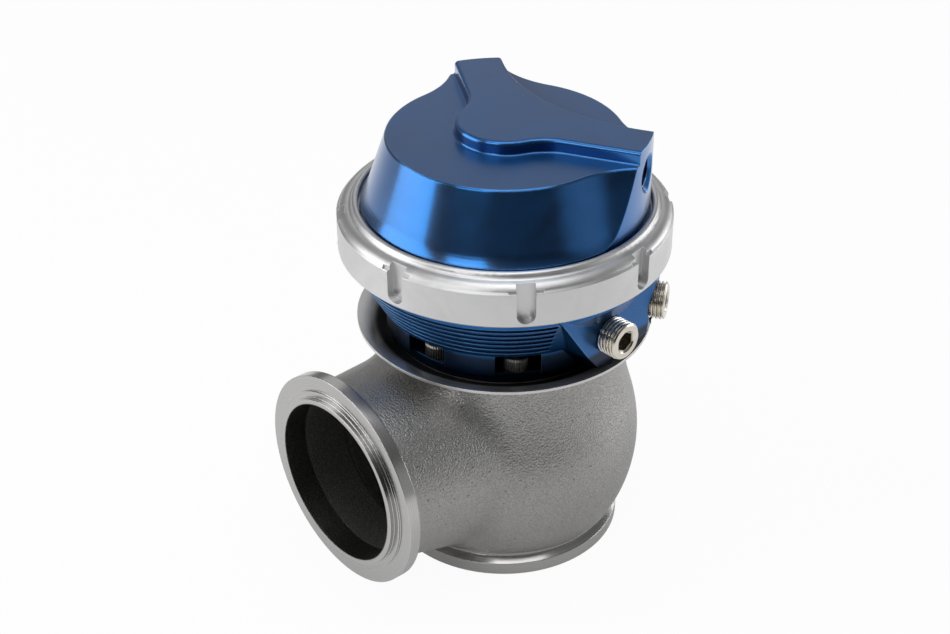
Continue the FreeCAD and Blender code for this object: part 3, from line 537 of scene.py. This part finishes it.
def makeDishSteel(name, values):
    material, tree, shader, place = startMaterial(name, {"Metallic": 1.0})
    turnedSheen(tree, shader, place, values["sheen"])
    x, y, z = splitXyz(tree, place)
    radius = lengthOf(tree, joinXyz(tree, x, y))
    facing = tree.nodes.new("ShaderNodeTexCoord").outputs["Normal"]
    underside = between(tree, splitXyz(tree, facing)[2], *values["undersideFacing"])
    smudge, lines, edge = addTurnedEffects(tree, place, values)
    flare = between(tree, radius, values["flareStart"], values["flareFull"])
    flare = doMath(tree, "MAXIMUM", flare, underside)
    tone = plus(tree, times(tree, lines["Tone"], values["lineShare"]),
                times(tree, smudge["Film"], values["filmShare"]))
    bowlShade = mixColour(tree, tone, values["bowlShadeDark"], values["bowlShadeLight"])
    bright = mixColour(tree, tone, values["flareDark"], values["flareLight"])
    # The flare keeps steel's colour; inside it the bowl has painted shade
    colour = mixColour(tree, flare, bowlShade, bright)
    # Edges lighter: rubbed wear and a painted highlight on the lip
    colour = mixColour(tree, times(tree, edge["Mask"], values["edgeShare"]), colour, values["edge"])
    feed(tree, shader.inputs["Base Color"], colour)
    rough = spread(tree, flare, values["bowlRough"], values["flareRough"])
    film = times(tree, smudge["Film"], values["filmRough"])
    feed(tree, shader.inputs["Roughness"], plus(tree, rough, film))
    feed(tree, shader.inputs["Normal"],
         makeBump(tree, lines["Height"], values["bump"], values["bumpDepth"], edge["Normal"]))
    return material


# The casting: sand-cast skin, turned flanges and neck, painted shade in the bore
casting = {
    "skinDark": (0.27, 0.266, 0.261, 1),
    "skinLight": (0.40, 0.396, 0.389, 1),
    "pit": (0.12, 0.115, 0.11, 1),
    "pitShare": 0.75,
    "turnedDark": (0.40, 0.395, 0.39, 1),
    "turnedLight": (0.50, 0.495, 0.49, 1),
    # Painted shade in the bore and the chamber
    "boreShadeDark": (0.11, 0.115, 0.105, 1),
    "boreShadeLight": (0.20, 0.205, 0.19, 1),
    "edge": (0.8, 0.8, 0.8, 1),
    "edgeShare": 0.5,
    "edgeLostInside": 0.45,
    "edgeWidth": 0.35 * mm,
    "edgeBreakup": 0.3,
    "filmSize": 30.0,
    "filmShare": 0.2,
    "grain": 2300.0,
    "grainShare": 0.8,
    "lump": 300.0,
    "linePitch": 4200.0,
    "lineHeight": 0.04,
    "skinRough": 0.43,
    "turnedRough": 0.20,
    "roughInside": 0.15,
    "smoothInside": 0.6,
    "bumpDepth": 0.19 * mm,
    "inletLandZ": 7.2 * mm,
    "outletLandX": -52.8 * mm,
    "landEdge": 0.05 * mm,
    "outletAxisZ": 36.9 * mm,
    "boreRadius": 22.62 * mm,
    "boreEdge": 0.04 * mm,
    "boreEnd": (-30 * mm, -34 * mm),
    "chamberFacing": (0.0, -2 * mm),
    "chamberRadius": (35.5 * mm, 35.0 * mm),
}


# One inside the outlet's bore and the chamber, whose surfaces face back to the passage
def makeInsideMask(tree, place, outletPlace, values):
    around = doVector(tree, "MULTIPLY", outletPlace, (1, 1, 0))[0]
    inBore = times(tree, between(tree, lengthOf(tree, around), values["boreRadius"] + values["boreEdge"],
                                 values["boreRadius"]),
                   between(tree, splitXyz(tree, place)[0], *values["boreEnd"]))
    normal = tree.nodes.new("ShaderNodeTexCoord").outputs["Normal"]
    level = doVector(tree, "MULTIPLY", place, (1, 1, 0))[0]
    inChamber = times(tree, between(tree, dotOf(tree, normal, level), *values["chamberFacing"]),
                      between(tree, lengthOf(tree, level), *values["chamberRadius"]))
    return doMath(tree, "MAXIMUM", inBore, inChamber)


def makeCastSteel(name, values):
    material, tree, shader, place = startMaterial(name, {"Metallic": 1.0})
    x, y, z = splitXyz(tree, place)
    edgeOfLand = values["landEdge"]
    lowLand = between(tree, z, values["inletLandZ"] + edgeOfLand, values["inletLandZ"] - edgeOfLand)
    outLand = between(tree, x, values["outletLandX"] + edgeOfLand, values["outletLandX"] - edgeOfLand)
    turned = doMath(tree, "MAXIMUM", lowLand, outLand)
    outletPlace = addNode(tree, "ShaderNodeMapping", inputs={
        0: place, 1: (-values["outletAxisZ"], 0, 0), 2: (0, math.radians(90), 0)}).outputs[0]
    inside = makeInsideMask(tree, place, outletPlace, values)
    smudge, lowLines, edge = addTurnedEffects(tree, place, values)
    outLines = useGroup(tree, turnedLines, {"Place": outletPlace, "Pitch": values["linePitch"]})
    grain = useGroup(tree, castGrain, {"Place": place, "Grain": values["grain"], "Lump": values["lump"]})
    lineTone = mixColour(tree, outLand, lowLines["Tone"], outLines["Tone"])
    turnedColour = mixColour(tree, lineTone, values["turnedDark"], values["turnedLight"])
    skinTone = plus(tree, times(tree, grain["Tone"], values["grainShare"]),
                    times(tree, smudge["Film"], values["filmShare"]))
    skinColour = mixColour(tree, skinTone, values["skinDark"], values["skinLight"])
    skinColour = mixColour(tree, times(tree, grain["Pits"], values["pitShare"]), skinColour, values["pit"])
    colour = mixColour(tree, turned, skinColour, turnedColour)
    # Edges lighter: rubbed wear and a painted highlight, less of it inside the bore
    edgeShare = minus(tree, values["edgeShare"], times(tree, inside, values["edgeLostInside"]))
    colour = mixColour(tree, times(tree, edge["Mask"], edgeShare), colour, values["edge"])
    # Painted shade inside the bore and the chamber
    boreShadeColour = mixColour(tree, grain["Tone"], values["boreShadeDark"], values["boreShadeLight"])
    feed(tree, shader.inputs["Base Color"], mixColour(tree, inside, colour, boreShadeColour))
    rough = spread(tree, turned, values["skinRough"], values["turnedRough"])
    feed(tree, shader.inputs["Roughness"], plus(tree, rough, times(tree, inside, values["roughInside"])))
    lineHeight = mixColour(tree, outLand, lowLines["Height"], outLines["Height"])
    smooth = times(tree, turned, minus(tree, 1.0, inside))
    grainHeight = times(tree, grain["Height"], minus(tree, 1.0, times(tree, inside, values["smoothInside"])))
    height = mixColour(tree, smooth, grainHeight, times(tree, lineHeight, values["lineHeight"]))
    feed(tree, shader.inputs["Normal"], makeBump(tree, height, 1.0, values["bumpDepth"], edge["Normal"]))
    return material


# Rubber, fibre and plastic
softMaterials = {
    "sealRubber": {"dark": (0.012, 0.012, 0.013, 1), "light": (0.035, 0.035, 0.037, 1), "rough": 0.55,
                   "grain": 2600.0},
    "diaphragmRubber": {"dark": (0.014, 0.014, 0.015, 1), "light": (0.045, 0.044, 0.043, 1), "rough": 0.68,
                        "grain": 1700.0},
    "gasketFibre": {"dark": (0.035, 0.035, 0.033, 1), "light": (0.11, 0.105, 0.10, 1), "rough": 0.8,
                    "grain": 1900.0},
    "slipPlastic": {"dark": (0.62, 0.61, 0.57, 1), "light": (0.80, 0.79, 0.75, 1), "rough": 0.4,
                    "grain": 900.0},
}
softShared = {
    "filmSize": 120.0,
    "filmRough": 0.08,
    "detail": 4.0,
    "grainRough": 0.65,
    "toneRange": (0.25, 0.7),
    "bump": 0.35,
    "bumpDepth": 0.1 * mm,
}


def makeSoft(name, values):
    material, tree, shader, place = startMaterial(name, {"Metallic": 0.0})
    smudge = useGroup(tree, handling, {"Place": place, "Size": values["filmSize"]})
    grain = addNoise(tree, place, values["grain"], values["detail"], values["grainRough"])
    mixed = times(tree, plus(tree, grain, smudge["Film"]), 0.5)
    tone = between(tree, mixed, *values["toneRange"])
    feed(tree, shader.inputs["Base Color"], mixColour(tree, tone, values["dark"], values["light"]))
    feed(tree, shader.inputs["Roughness"],
         plus(tree, values["rough"], times(tree, smudge["Film"], values["filmRough"])))
    feed(tree, shader.inputs["Normal"], makeBump(tree, grain, values["bump"], values["bumpDepth"]))
    return material


finishes = {
    "castSteel": makeCastSteel("castSteel", casting),
    "dishSteel": makeDishSteel("dishSteel", dish),
    "anodisedBlue": makeAnodised("anodisedBlue", anodised),
    "housingBlue": makeAnodised("housingBlue", {**anodised, "coat": 0.35, "sideRough": 0.27}),
}
for metalName, metalValues in bareMetals.items():
    finishes[metalName] = makeBareMetal(metalName, {**bareShared, **metalValues})
for rubberName, rubberValues in softMaterials.items():
    finishes[rubberName] = makeSoft(rubberName, {**softShared, **rubberValues})
print("finishes made:", len(finishes))

# Which finish each CAD node takes; the grown and the squeezed pieces below stand for the others
nodeFinish = {
    "valve_body": "castSteel", "valve_seat": "seatSteel", "valve_guide": "guideBronze",
    "heat_shield": "dishSteel", "base_gasket": "gasketFibre", "lower_housing": "housingBlue",
    "stem_seal": "sealRubber", "seal_circlip": "springSteel", "valve": "valveSteel",
    "piston": "machinedAluminium", "clamp_plate": "machinedAluminium", "lock_washer": "springSteel",
    "lock_nut": "springSteel", "cap": "anodisedBlue", "slip_ring": "slipPlastic",
    "locking_collar": "collarAluminium",
}


def dress(piece, finish):
    piece.data.materials.clear()
    piece.data.materials.append(finishes[finish])


for nodeName, finishName in nodeFinish.items():
    dress(nodes[nodeName], finishName)
print("nodes dressed:", len(nodeFinish))


# Shapes that repeat, grown with Geometry Nodes
geometry = "NodeSocketGeometry"
whole = "NodeSocketInt"
stuff = "NodeSocketMaterial"
hexSides = 6


def addCylinder(tree, sides, radius, depth, rings=1):
    return addNode(tree, "GeometryNodeMeshCylinder", inputs={
        "Vertices": sides, "Side Segments": rings, "Radius": radius, "Depth": depth}).outputs[0]


def liftShape(tree, shape, height):
    return addNode(tree, "GeometryNodeTransform", inputs={
        "Geometry": shape, "Translation": joinXyz(tree, z=height)}).outputs[0]


def joinShapes(tree, first, second):
    joined = addNode(tree, "GeometryNodeMeshBoolean", {"operation": "UNION", "solver": "EXACT"})
    tree.links.new(first, joined.inputs["Mesh 2"])
    tree.links.new(second, joined.inputs["Mesh 2"])
    return joined.outputs[0]


def cutShape(tree, blank, cutter):
    cut = addNode(tree, "GeometryNodeMeshBoolean", {"operation": "DIFFERENCE", "solver": "EXACT"})
    tree.links.new(blank, cut.inputs["Mesh 1"])
    tree.links.new(cutter, cut.inputs["Mesh 2"])
    return cut.outputs[0]


def useShape(tree, group, inputs):
    return useGroup(tree, group, inputs, "GeometryNodeGroup")["Geometry"]


# A cylinder whose side is pressed into waves: a screw thread, or straight ribs
def makeRibbedGroup(flankShare):
    group, given, result = newGroup(
        "ribbedCylinder",
        [("Radius", number, 0.005), ("Length", number, 0.01), ("Pitch", number, 0.001),
         ("Starts", number, 1.0), ("Depth", number, 0.0004), ("Crest", number, 0.25),
         ("Chamfer", number, 0.0003), ("Sides", whole, 72), ("Rings", whole, 60)],
        [("Geometry", geometry)], "GeometryNodeTree")
    blank = addCylinder(group, given["Sides"], given["Radius"], given["Length"], given["Rings"])
    x, y, z = splitXyz(group, group.nodes.new("GeometryNodeInputPosition").outputs[0])
    height = plus(group, z, times(group, given["Length"], 0.5))
    turn = doMath(group, "DIVIDE", doMath(group, "ARCTAN2", y, x), 2 * math.pi)
    phase = minus(group, doMath(group, "DIVIDE", height, given["Pitch"]), times(group, turn, given["Starts"]))
    saw = doMath(group, "FRACT", phase)
    wave = doMath(group, "ABSOLUTE", minus(group, times(group, saw, 2.0), 1.0))
    flankEnd = minus(group, 1.0, times(group, given["Crest"], flankShare))
    groove = addNode(group, "ShaderNodeMapRange", {"clamp": True}, {
        0: wave, 1: given["Crest"], 2: flankEnd, 3: 0.0, 4: given["Depth"]}).outputs[0]
    fromTop = minus(group, plus(group, height, given["Chamfer"]), given["Length"])
    fromFoot = minus(group, given["Chamfer"], height)
    bevel = doMath(group, "MAXIMUM", doMath(group, "MAXIMUM", fromTop, fromFoot), 0.0)
    radius = minus(group, given["Radius"], doMath(group, "MAXIMUM", groove, bevel))
    share = doMath(group, "DIVIDE", radius, given["Radius"])
    place = joinXyz(group, times(group, x, share), times(group, y, share), height)
    shaped = addNode(group, "GeometryNodeSetPosition", inputs={"Geometry": blank, "Position": place})
    feed(group, result["Geometry"], shaped.outputs[0])
    return group


# The cutter for a hexagon socket, with the round chamfer at its mouth
def makeSocketGroup(funnelSides):
    group, given, result = newGroup(
        "hexSocket",
        [("Flats", number, 0.003), ("Depth", number, 0.002), ("Top", number, 0.0), ("Mouth", number, 0.0003)],
        [("Geometry", geometry)], "GeometryNodeTree")
    corner = doMath(group, "DIVIDE", given["Flats"], math.sqrt(3))
    prism = addCylinder(group, hexSides, corner, times(group, given["Depth"], 2.0))
    wide = plus(group, corner, given["Mouth"])
    funnel = addNode(group, "GeometryNodeMeshCone", inputs={
        "Vertices": funnelSides, "Radius Top": plus(group, wide, given["Mouth"]),
        "Radius Bottom": minus(group, wide, given["Mouth"]), "Depth": times(group, given["Mouth"], 2.0)})
    mouth = liftShape(group, funnel.outputs[0], minus(group, given["Top"], given["Mouth"]))
    feed(group, result["Geometry"], joinShapes(group, liftShape(group, prism, given["Top"]), mouth))
    return group


# Copies set round the valve axis: upright, or pointing outwards
def makeRoundGroup():
    group, given, result = newGroup(
        "setRound",
        [("Geometry", geometry, None), ("Count", whole, 1), ("First", number, 0.0), ("Spacing", number, 0.0),
         ("Distance", number, 0.0), ("Height", number, 0.0), ("Tilt", number, 0.0)],
        [("Geometry", geometry)], "GeometryNodeTree")
    index = group.nodes.new("GeometryNodeInputIndex").outputs[0]
    turn = doMath(group, "RADIANS", plus(group, given["First"], times(group, given["Spacing"], index)))
    place = joinXyz(group, times(group, given["Distance"], doMath(group, "COSINE", turn)),
                    times(group, given["Distance"], doMath(group, "SINE", turn)), given["Height"])
    points = addNode(group, "GeometryNodePoints", inputs={"Count": given["Count"], "Position": place})
    heading = joinXyz(group, y=doMath(group, "RADIANS", given["Tilt"]), z=turn)
    copies = addNode(group, "GeometryNodeInstanceOnPoints", inputs={
        "Points": points.outputs[0], "Instance": given["Geometry"], "Rotation": heading})
    feed(group, result["Geometry"], copies.outputs[0])
    return group


ribbedCylinder = makeRibbedGroup(flankShare=0.4)
hexSocket = makeSocketGroup(funnelSides=48)
setRound = makeRoundGroup()

placing = [("Count", whole, 1), ("First", number, 0.0), ("Spacing", number, 0.0), ("Distance", number, 0.0),
           ("Height", number, 0.0)]
finishing = [("Finish", stuff, None)]


def finishTree(tree, given, result, shape, tilt):
    places = {name: given[name] for name, kind, value in placing}
    placed = useShape(tree, setRound, {"Geometry": shape, "Tilt": tilt, **places})
    real = addNode(tree, "GeometryNodeRealizeInstances", inputs={0: placed}).outputs[0]
    dressed = addNode(tree, "GeometryNodeSetMaterial", inputs={"Geometry": real, "Material": given["Finish"]})
    feed(tree, result["Geometry"], dressed.outputs[0])


# How far the copies lean from the valve axis, in degrees
upright = 0.0
outwards = 90.0

# A taper plug: the threaded part that shows, a plain root in the port, and a hexagon socket
plugShape = {
    "sides": 72,
    "rings": 64,
    "crest": 0.30,
    "mouth": 0.42 * mm,
}


def makePlugTree(values):
    tree, given, result = newGroup(
        "taperPlug",
        placing + finishing + [
            ("Thread radius", number, 0.005), ("Shown length", number, 0.0056), ("Pitch", number, 0.001),
            ("Thread depth", number, 0.0004), ("Root radius", number, 0.0043), ("Root length", number, 0.004),
            ("Socket flats", number, 0.0048), ("Socket depth", number, 0.0045), ("Chamfer", number, 0.0004)],
        [("Geometry", geometry)], "GeometryNodeTree")
    thread = useShape(tree, ribbedCylinder, {
        "Radius": given["Thread radius"], "Length": given["Shown length"], "Pitch": given["Pitch"],
        "Starts": 1.0, "Depth": given["Thread depth"], "Crest": values["crest"],
        "Chamfer": given["Chamfer"], "Sides": values["sides"], "Rings": values["rings"]})
    root = addCylinder(tree, values["sides"], given["Root radius"], times(tree, given["Root length"], 2.0))
    cutter = useShape(tree, hexSocket, {
        "Flats": given["Socket flats"], "Depth": given["Socket depth"], "Top": given["Shown length"],
        "Mouth": values["mouth"]})
    finishTree(tree, given, result, cutShape(tree, joinShapes(tree, thread, root), cutter), outwards)
    return tree


# A socket cap screw with a knurled head
screwShape = {
    "headSides": 180,
    "headRings": 9,
    "shankSides": 32,
    "crest": 0.3,
    "chamfer": 0.45 * mm,
    "mouth": 0.22 * mm,
}


def makeScrewTree(values):
    tree, given, result = newGroup(
        "socketScrew",
        placing + finishing + [
            ("Head radius", number, 0.0034), ("Head height", number, 0.004), ("Ribs", number, 30.0),
            ("Rib depth", number, 0.00018), ("Shank radius", number, 0.002), ("Shank length", number, 0.008),
            ("Socket flats", number, 0.003), ("Socket depth", number, 0.0022)],
        [("Geometry", geometry)], "GeometryNodeTree")
    head = useShape(tree, ribbedCylinder, {
        "Radius": given["Head radius"], "Length": given["Head height"], "Pitch": 1.0, "Starts": given["Ribs"],
        "Depth": given["Rib depth"], "Crest": values["crest"], "Chamfer": values["chamfer"],
        "Sides": values["headSides"], "Rings": values["headRings"]})
    shank = addCylinder(tree, values["shankSides"], given["Shank radius"],
                        times(tree, given["Shank length"], 2.0))
    cutter = useShape(tree, hexSocket, {
        "Flats": given["Socket flats"], "Depth": given["Socket depth"], "Top": given["Head height"],
        "Mouth": values["mouth"]})
    finishTree(tree, given, result, cutShape(tree, joinShapes(tree, head, shank), cutter), upright)
    return tree


# The thread cut in a port: a thin sleeve on the drilled wall with the ridges inside
portShape = {
    "sides": 72,
    "rings": 96,
    "crest": 0.2,
    "clearance": 0.04 * mm,
    "coreLength": 1.2,
    "coreStart": -0.1,
}


def makePortThreadTree(values):
    tree, given, result = newGroup(
        "portThread",
        placing + finishing + [
            ("Bore radius", number, 0.00435), ("Length", number, 0.007), ("Pitch", number, 0.001),
            ("Thread depth", number, 0.0004)],
        [("Geometry", geometry)], "GeometryNodeTree")
    wall = addCylinder(tree, values["sides"], given["Bore radius"], given["Length"])
    wall = liftShape(tree, wall, times(tree, given["Length"], 0.5))
    core = useShape(tree, ribbedCylinder, {
        "Radius": minus(tree, given["Bore radius"], values["clearance"]),
        "Length": times(tree, given["Length"], values["coreLength"]), "Pitch": given["Pitch"],
        "Starts": 1.0, "Depth": given["Thread depth"], "Crest": values["crest"], "Chamfer": 0.0,
        "Sides": values["sides"], "Rings": values["rings"]})
    core = liftShape(tree, core, times(tree, given["Length"], values["coreStart"]))
    finishTree(tree, given, result, cutShape(tree, wall, core), outwards)
    return tree


sharpAngle = math.radians(32)


def growPiece(name, tree, sizes, finish, body, replaced=()):
    maker = bpy.data.objects.new(name + "Maker", bpy.data.meshes.new(name + "Seed"))
    bpy.context.scene.collection.objects.link(maker)
    grow = maker.modifiers.new("grow", "NODES")
    grow.node_group = tree
    values = {**sizes, "Finish": finishes[finish]}
    for item in tree.interface.items_tree:
        if item.in_out == "INPUT":
            grow[item.identifier] = values[item.name]
    ready = maker.evaluated_get(bpy.context.evaluated_depsgraph_get())
    mesh = bpy.data.meshes.new_from_object(ready)
    maker.modifiers.remove(grow)
    bpy.data.objects.remove(maker)
    mesh.shade_smooth()
    mesh.set_sharp_from_angle(angle=sharpAngle)
    piece = bpy.data.objects.new(name, mesh)
    bpy.context.scene.collection.objects.link(piece)
    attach(piece, body)
    if replaced:
        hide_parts(*replaced)
    print("grown:", name, len(mesh.polygons), "faces")


# The two plugs of the housing's ports
plug = {
    "Count": 1, "Spacing": 0.0, "Height": 76.5 * mm,
    "Thread radius": 5.14 * mm, "Shown length": 5.56 * mm, "Pitch": 1.02 * mm, "Thread depth": 0.62 * mm,
    "Root radius": 4.30 * mm, "Root length": 4.0 * mm,
    "Socket flats": 4.8 * mm, "Socket depth": 4.5 * mm, "Chamfer": 0.45 * mm,
}
plugPlaces = {
    "port_plug_front": {"First": -86.0, "Distance": 38.44 * mm},
    "port_plug_side": {"First": -55.5, "Distance": 39.04 * mm},
}
plugTree = makePlugTree(plugShape)
for plugNode, plugPlace in plugPlaces.items():
    growPiece("threaded_" + plugNode, plugTree, {**plug, **plugPlace}, "nickelPlate", "gate_body",
              [plugNode])

# The screws that hold the housing down
screws = {
    "Count": 6, "First": 10.0, "Spacing": 45.0, "Distance": 28.0 * mm, "Height": 66.6 * mm,
    "Head radius": 3.4 * mm, "Head height": 4.0 * mm, "Ribs": 30.0, "Rib depth": 0.2 * mm,
    "Shank radius": 2.0 * mm, "Shank length": 8.4 * mm, "Socket flats": 3.0 * mm, "Socket depth": 2.2 * mm,
}
growPiece("housing_screws", makeScrewTree(screwShape), screws, "screwSteelInPaintedShade", "gate_body",
          ["housing_screw_%d" % (screwIndex + 1) for screwIndex in range(screws["Count"])])

# The threads in the cap's two ports
capThreads = {
    "Count": 2, "First": -60.0, "Spacing": 120.0, "Distance": 30.05 * mm, "Height": 115.7 * mm,
    "Bore radius": 4.36 * mm, "Length": 7.0 * mm, "Pitch": 0.94 * mm, "Thread depth": 0.5 * mm,
}
growPiece("cap_port_threads", makePortThreadTree(portShape), capThreads, "anodisedBlue", "cap_body")
print("grown pieces placed")

# The springs and the diaphragm, which the valve squeezes towards their fixed upper end as it opens, are
# copied with their points merged and shaded smooth
squeezed = {
    "outer_spring_coil": {"node": "outer_spring", "finish": "springSteel", "fixedEnd": 117.2 * mm},
    "inner_spring_coil": {"node": "inner_spring", "finish": "springSteel", "fixedEnd": 117.2 * mm},
    "rolled_diaphragm": {"node": "diaphragm", "finish": "diaphragmRubber", "fixedEnd": 96.2 * mm},
}
squeezing = {
    "travel": 11.0 * mm,
    "mergeDistance": 0.002 * mm,
    "sharpAngle": 50,
}


def makeSqueezedPiece(name, values):
    mesh = nodes[values["node"]].data.copy()
    shape = bmesh.new()
    shape.from_mesh(mesh)
    bmesh.ops.remove_doubles(shape, verts=shape.verts, dist=values["mergeDistance"])
    shape.to_mesh(mesh)
    shape.free()
    mesh.shade_smooth()
    mesh.set_sharp_from_angle(angle=math.radians(values["sharpAngle"]))
    piece = bpy.data.objects.new(name, mesh)
    bpy.context.scene.collection.objects.link(piece)
    dress(piece, values["finish"])
    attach(piece, "gate_body")
    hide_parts(values["node"])
    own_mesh(piece)


for squeezedName, squeezedValues in squeezed.items():
    makeSqueezedPiece(squeezedName, {**squeezing, **squeezedValues})
print("squeezed pieces placed")

# Floor, lamps and surroundings
studio = {
    "floorRadius": 1.6,
    "floorSides": 96,
    "floorDrop": 0.05 * mm,
    "floorColour": (0.86, 0.86, 0.865, 1),
    "floorRough": 0.9,
    "floorShown": 0.95,
    "floorMirrored": 0.80,
    "floorFaded": 0.08,
    "floorShaded": 0.30,
    "shadeStart": 0.05,
    "shadeEnd": 0.12,
    "fadeStart": 0.28,
    "fadeEnd": 0.62,
    "backdropHeading": 60.0,
    "backdropEdge": (-0.25, 0.75),
    "backdrop": 0.22,
    "screenHeading": -55.0,
    "screenEdge": (0.80, 0.97),
    "screen": 0.38,
    "room": 0.025,
    "ceilingEdge": (0.25, 0.95),
    "ceiling": 0.25,
    "mirrored": 0.01,
}
white = (1, 1, 1, 1)


# Two masks: rays straight from the lens, and those together with rays sent on by metal or glass
def seenDirectly(tree):
    path = tree.nodes.new("ShaderNodeLightPath").outputs
    mirrored = doMath(tree, "MAXIMUM", path["Is Glossy Ray"], path["Is Transmission Ray"])
    return path["Is Camera Ray"], doMath(tree, "MAXIMUM", path["Is Camera Ray"], mirrored)


def makeFloor(values):
    mesh = bpy.data.meshes.new("floor")
    shape = bmesh.new()
    bmesh.ops.create_circle(shape, cap_ends=True, radius=values["floorRadius"], segments=values["floorSides"])
    shape.to_mesh(mesh)
    shape.free()
    floor = bpy.data.objects.new("floor", mesh)
    floor.location = (0, 0, -values["floorDrop"])
    bpy.context.scene.collection.objects.link(floor)
    material, tree, shader, place = startMaterial("paleFloor", {
        "Roughness": values["floorRough"], "Base Color": values["floorColour"]})
    direct, seen = seenDirectly(tree)
    glow = addNode(tree, "ShaderNodeEmission", inputs={"Color": white, "Strength": 1.0})
    # Reflections see a painted table: its glow fades into a dark room, with a painted shadow under the
    # object, as in a product studio
    distance = lengthOf(tree, place)
    table = between(tree, distance, values["fadeStart"], values["fadeEnd"],
                    values["floorMirrored"], values["floorFaded"])
    # Painted shadow under the object, seen in reflections
    paintedShadowUnderObject = between(tree, distance, values["shadeStart"], values["shadeEnd"],
                          values["floorShaded"], 1.0)
    table = times(tree, table, paintedShadowUnderObject)
    shown = doMath(tree, "MAXIMUM", times(tree, direct, values["floorShown"]), times(tree, seen, table))
    mix = addNode(tree, "ShaderNodeMixShader", inputs={0: shown, 1: shader.outputs[0], 2: glow.outputs[0]})
    feed(tree, tree.nodes["Material Output"].inputs["Surface"], mix.outputs[0])
    mesh.materials.append(material)


# How near a direction is to a level heading: one when they are the same
def towards(tree, direction, heading):
    angle = math.radians(heading)
    return dotOf(tree, direction, (math.cos(angle), math.sin(angle), 0))


# A white backdrop on the far side, a dim room behind the camera, a soft ceiling
def makeWorld(values):
    world = bpy.data.worlds.new("studio")
    bpy.context.scene.world = world
    world.use_nodes = True
    tree = world.node_tree
    tree.nodes.clear()
    direct, seen = seenDirectly(tree)
    direction = tree.nodes.new("ShaderNodeTexCoord").outputs["Generated"]
    far = towards(tree, direction, values["backdropHeading"])
    wall = between(tree, far, *values["backdropEdge"], values["room"], values["backdrop"])
    # A dim screen on the right of the lens shows in the right half of the cap's side
    near = towards(tree, direction, values["screenHeading"])
    wall = plus(tree, wall, between(tree, near, *values["screenEdge"], 0.0, values["screen"]))
    above = between(tree, splitXyz(tree, direction)[2], *values["ceilingEdge"])
    level = spread(tree, above, wall, values["ceiling"])
    shown = doMath(tree, "MAXIMUM", direct, times(tree, seen, values["mirrored"]))
    light = addNode(tree, "ShaderNodeBackground", inputs={
        "Color": white, "Strength": spread(tree, shown, level, 1.0)})
    out = tree.nodes.new("ShaderNodeOutputWorld")
    feed(tree, out.inputs["Surface"], light.outputs[0])


lamps = {
    "leftSoftbox": {"place": (-0.70, 0.50, 0.36), "size": (0.72, 0.75), "power": 4.5},
    "rightSoftbox": {"place": (0.77, -0.30, 0.15), "size": (0.7, 0.3), "power": 1.8},
    "backCard": {"place": (0.53, 0.60, 0.52), "size": (0.7, 0.5), "power": 0.56},
    "overhead": {"place": (-0.05, -0.12, 1.0), "size": (0.7, 0.7), "power": 3.6},
    "frontSoftbox": {"place": (-0.74, -0.24, 0.66), "size": (0.45, 0.4), "power": 1.7},
}
lampTarget = Vector((0, 0, 0.06))


def makeLamp(name, values):
    data = bpy.data.lights.new(name, "AREA")
    data.shape = "RECTANGLE"
    data.size, data.size_y = values["size"]
    data.energy = values["power"]
    lamp = bpy.data.objects.new(name, data)
    lamp.location = values["place"]
    aim = lampTarget - Vector(values["place"])
    lamp.rotation_euler = aim.to_track_quat("-Z", "Y").to_euler()
    bpy.context.scene.collection.objects.link(lamp)


makeFloor(studio)
makeWorld(studio)
for lampName, lampValues in lamps.items():
    makeLamp(lampName, lampValues)
bpy.context.scene.view_settings.view_transform = "Standard"
print("studio lit")
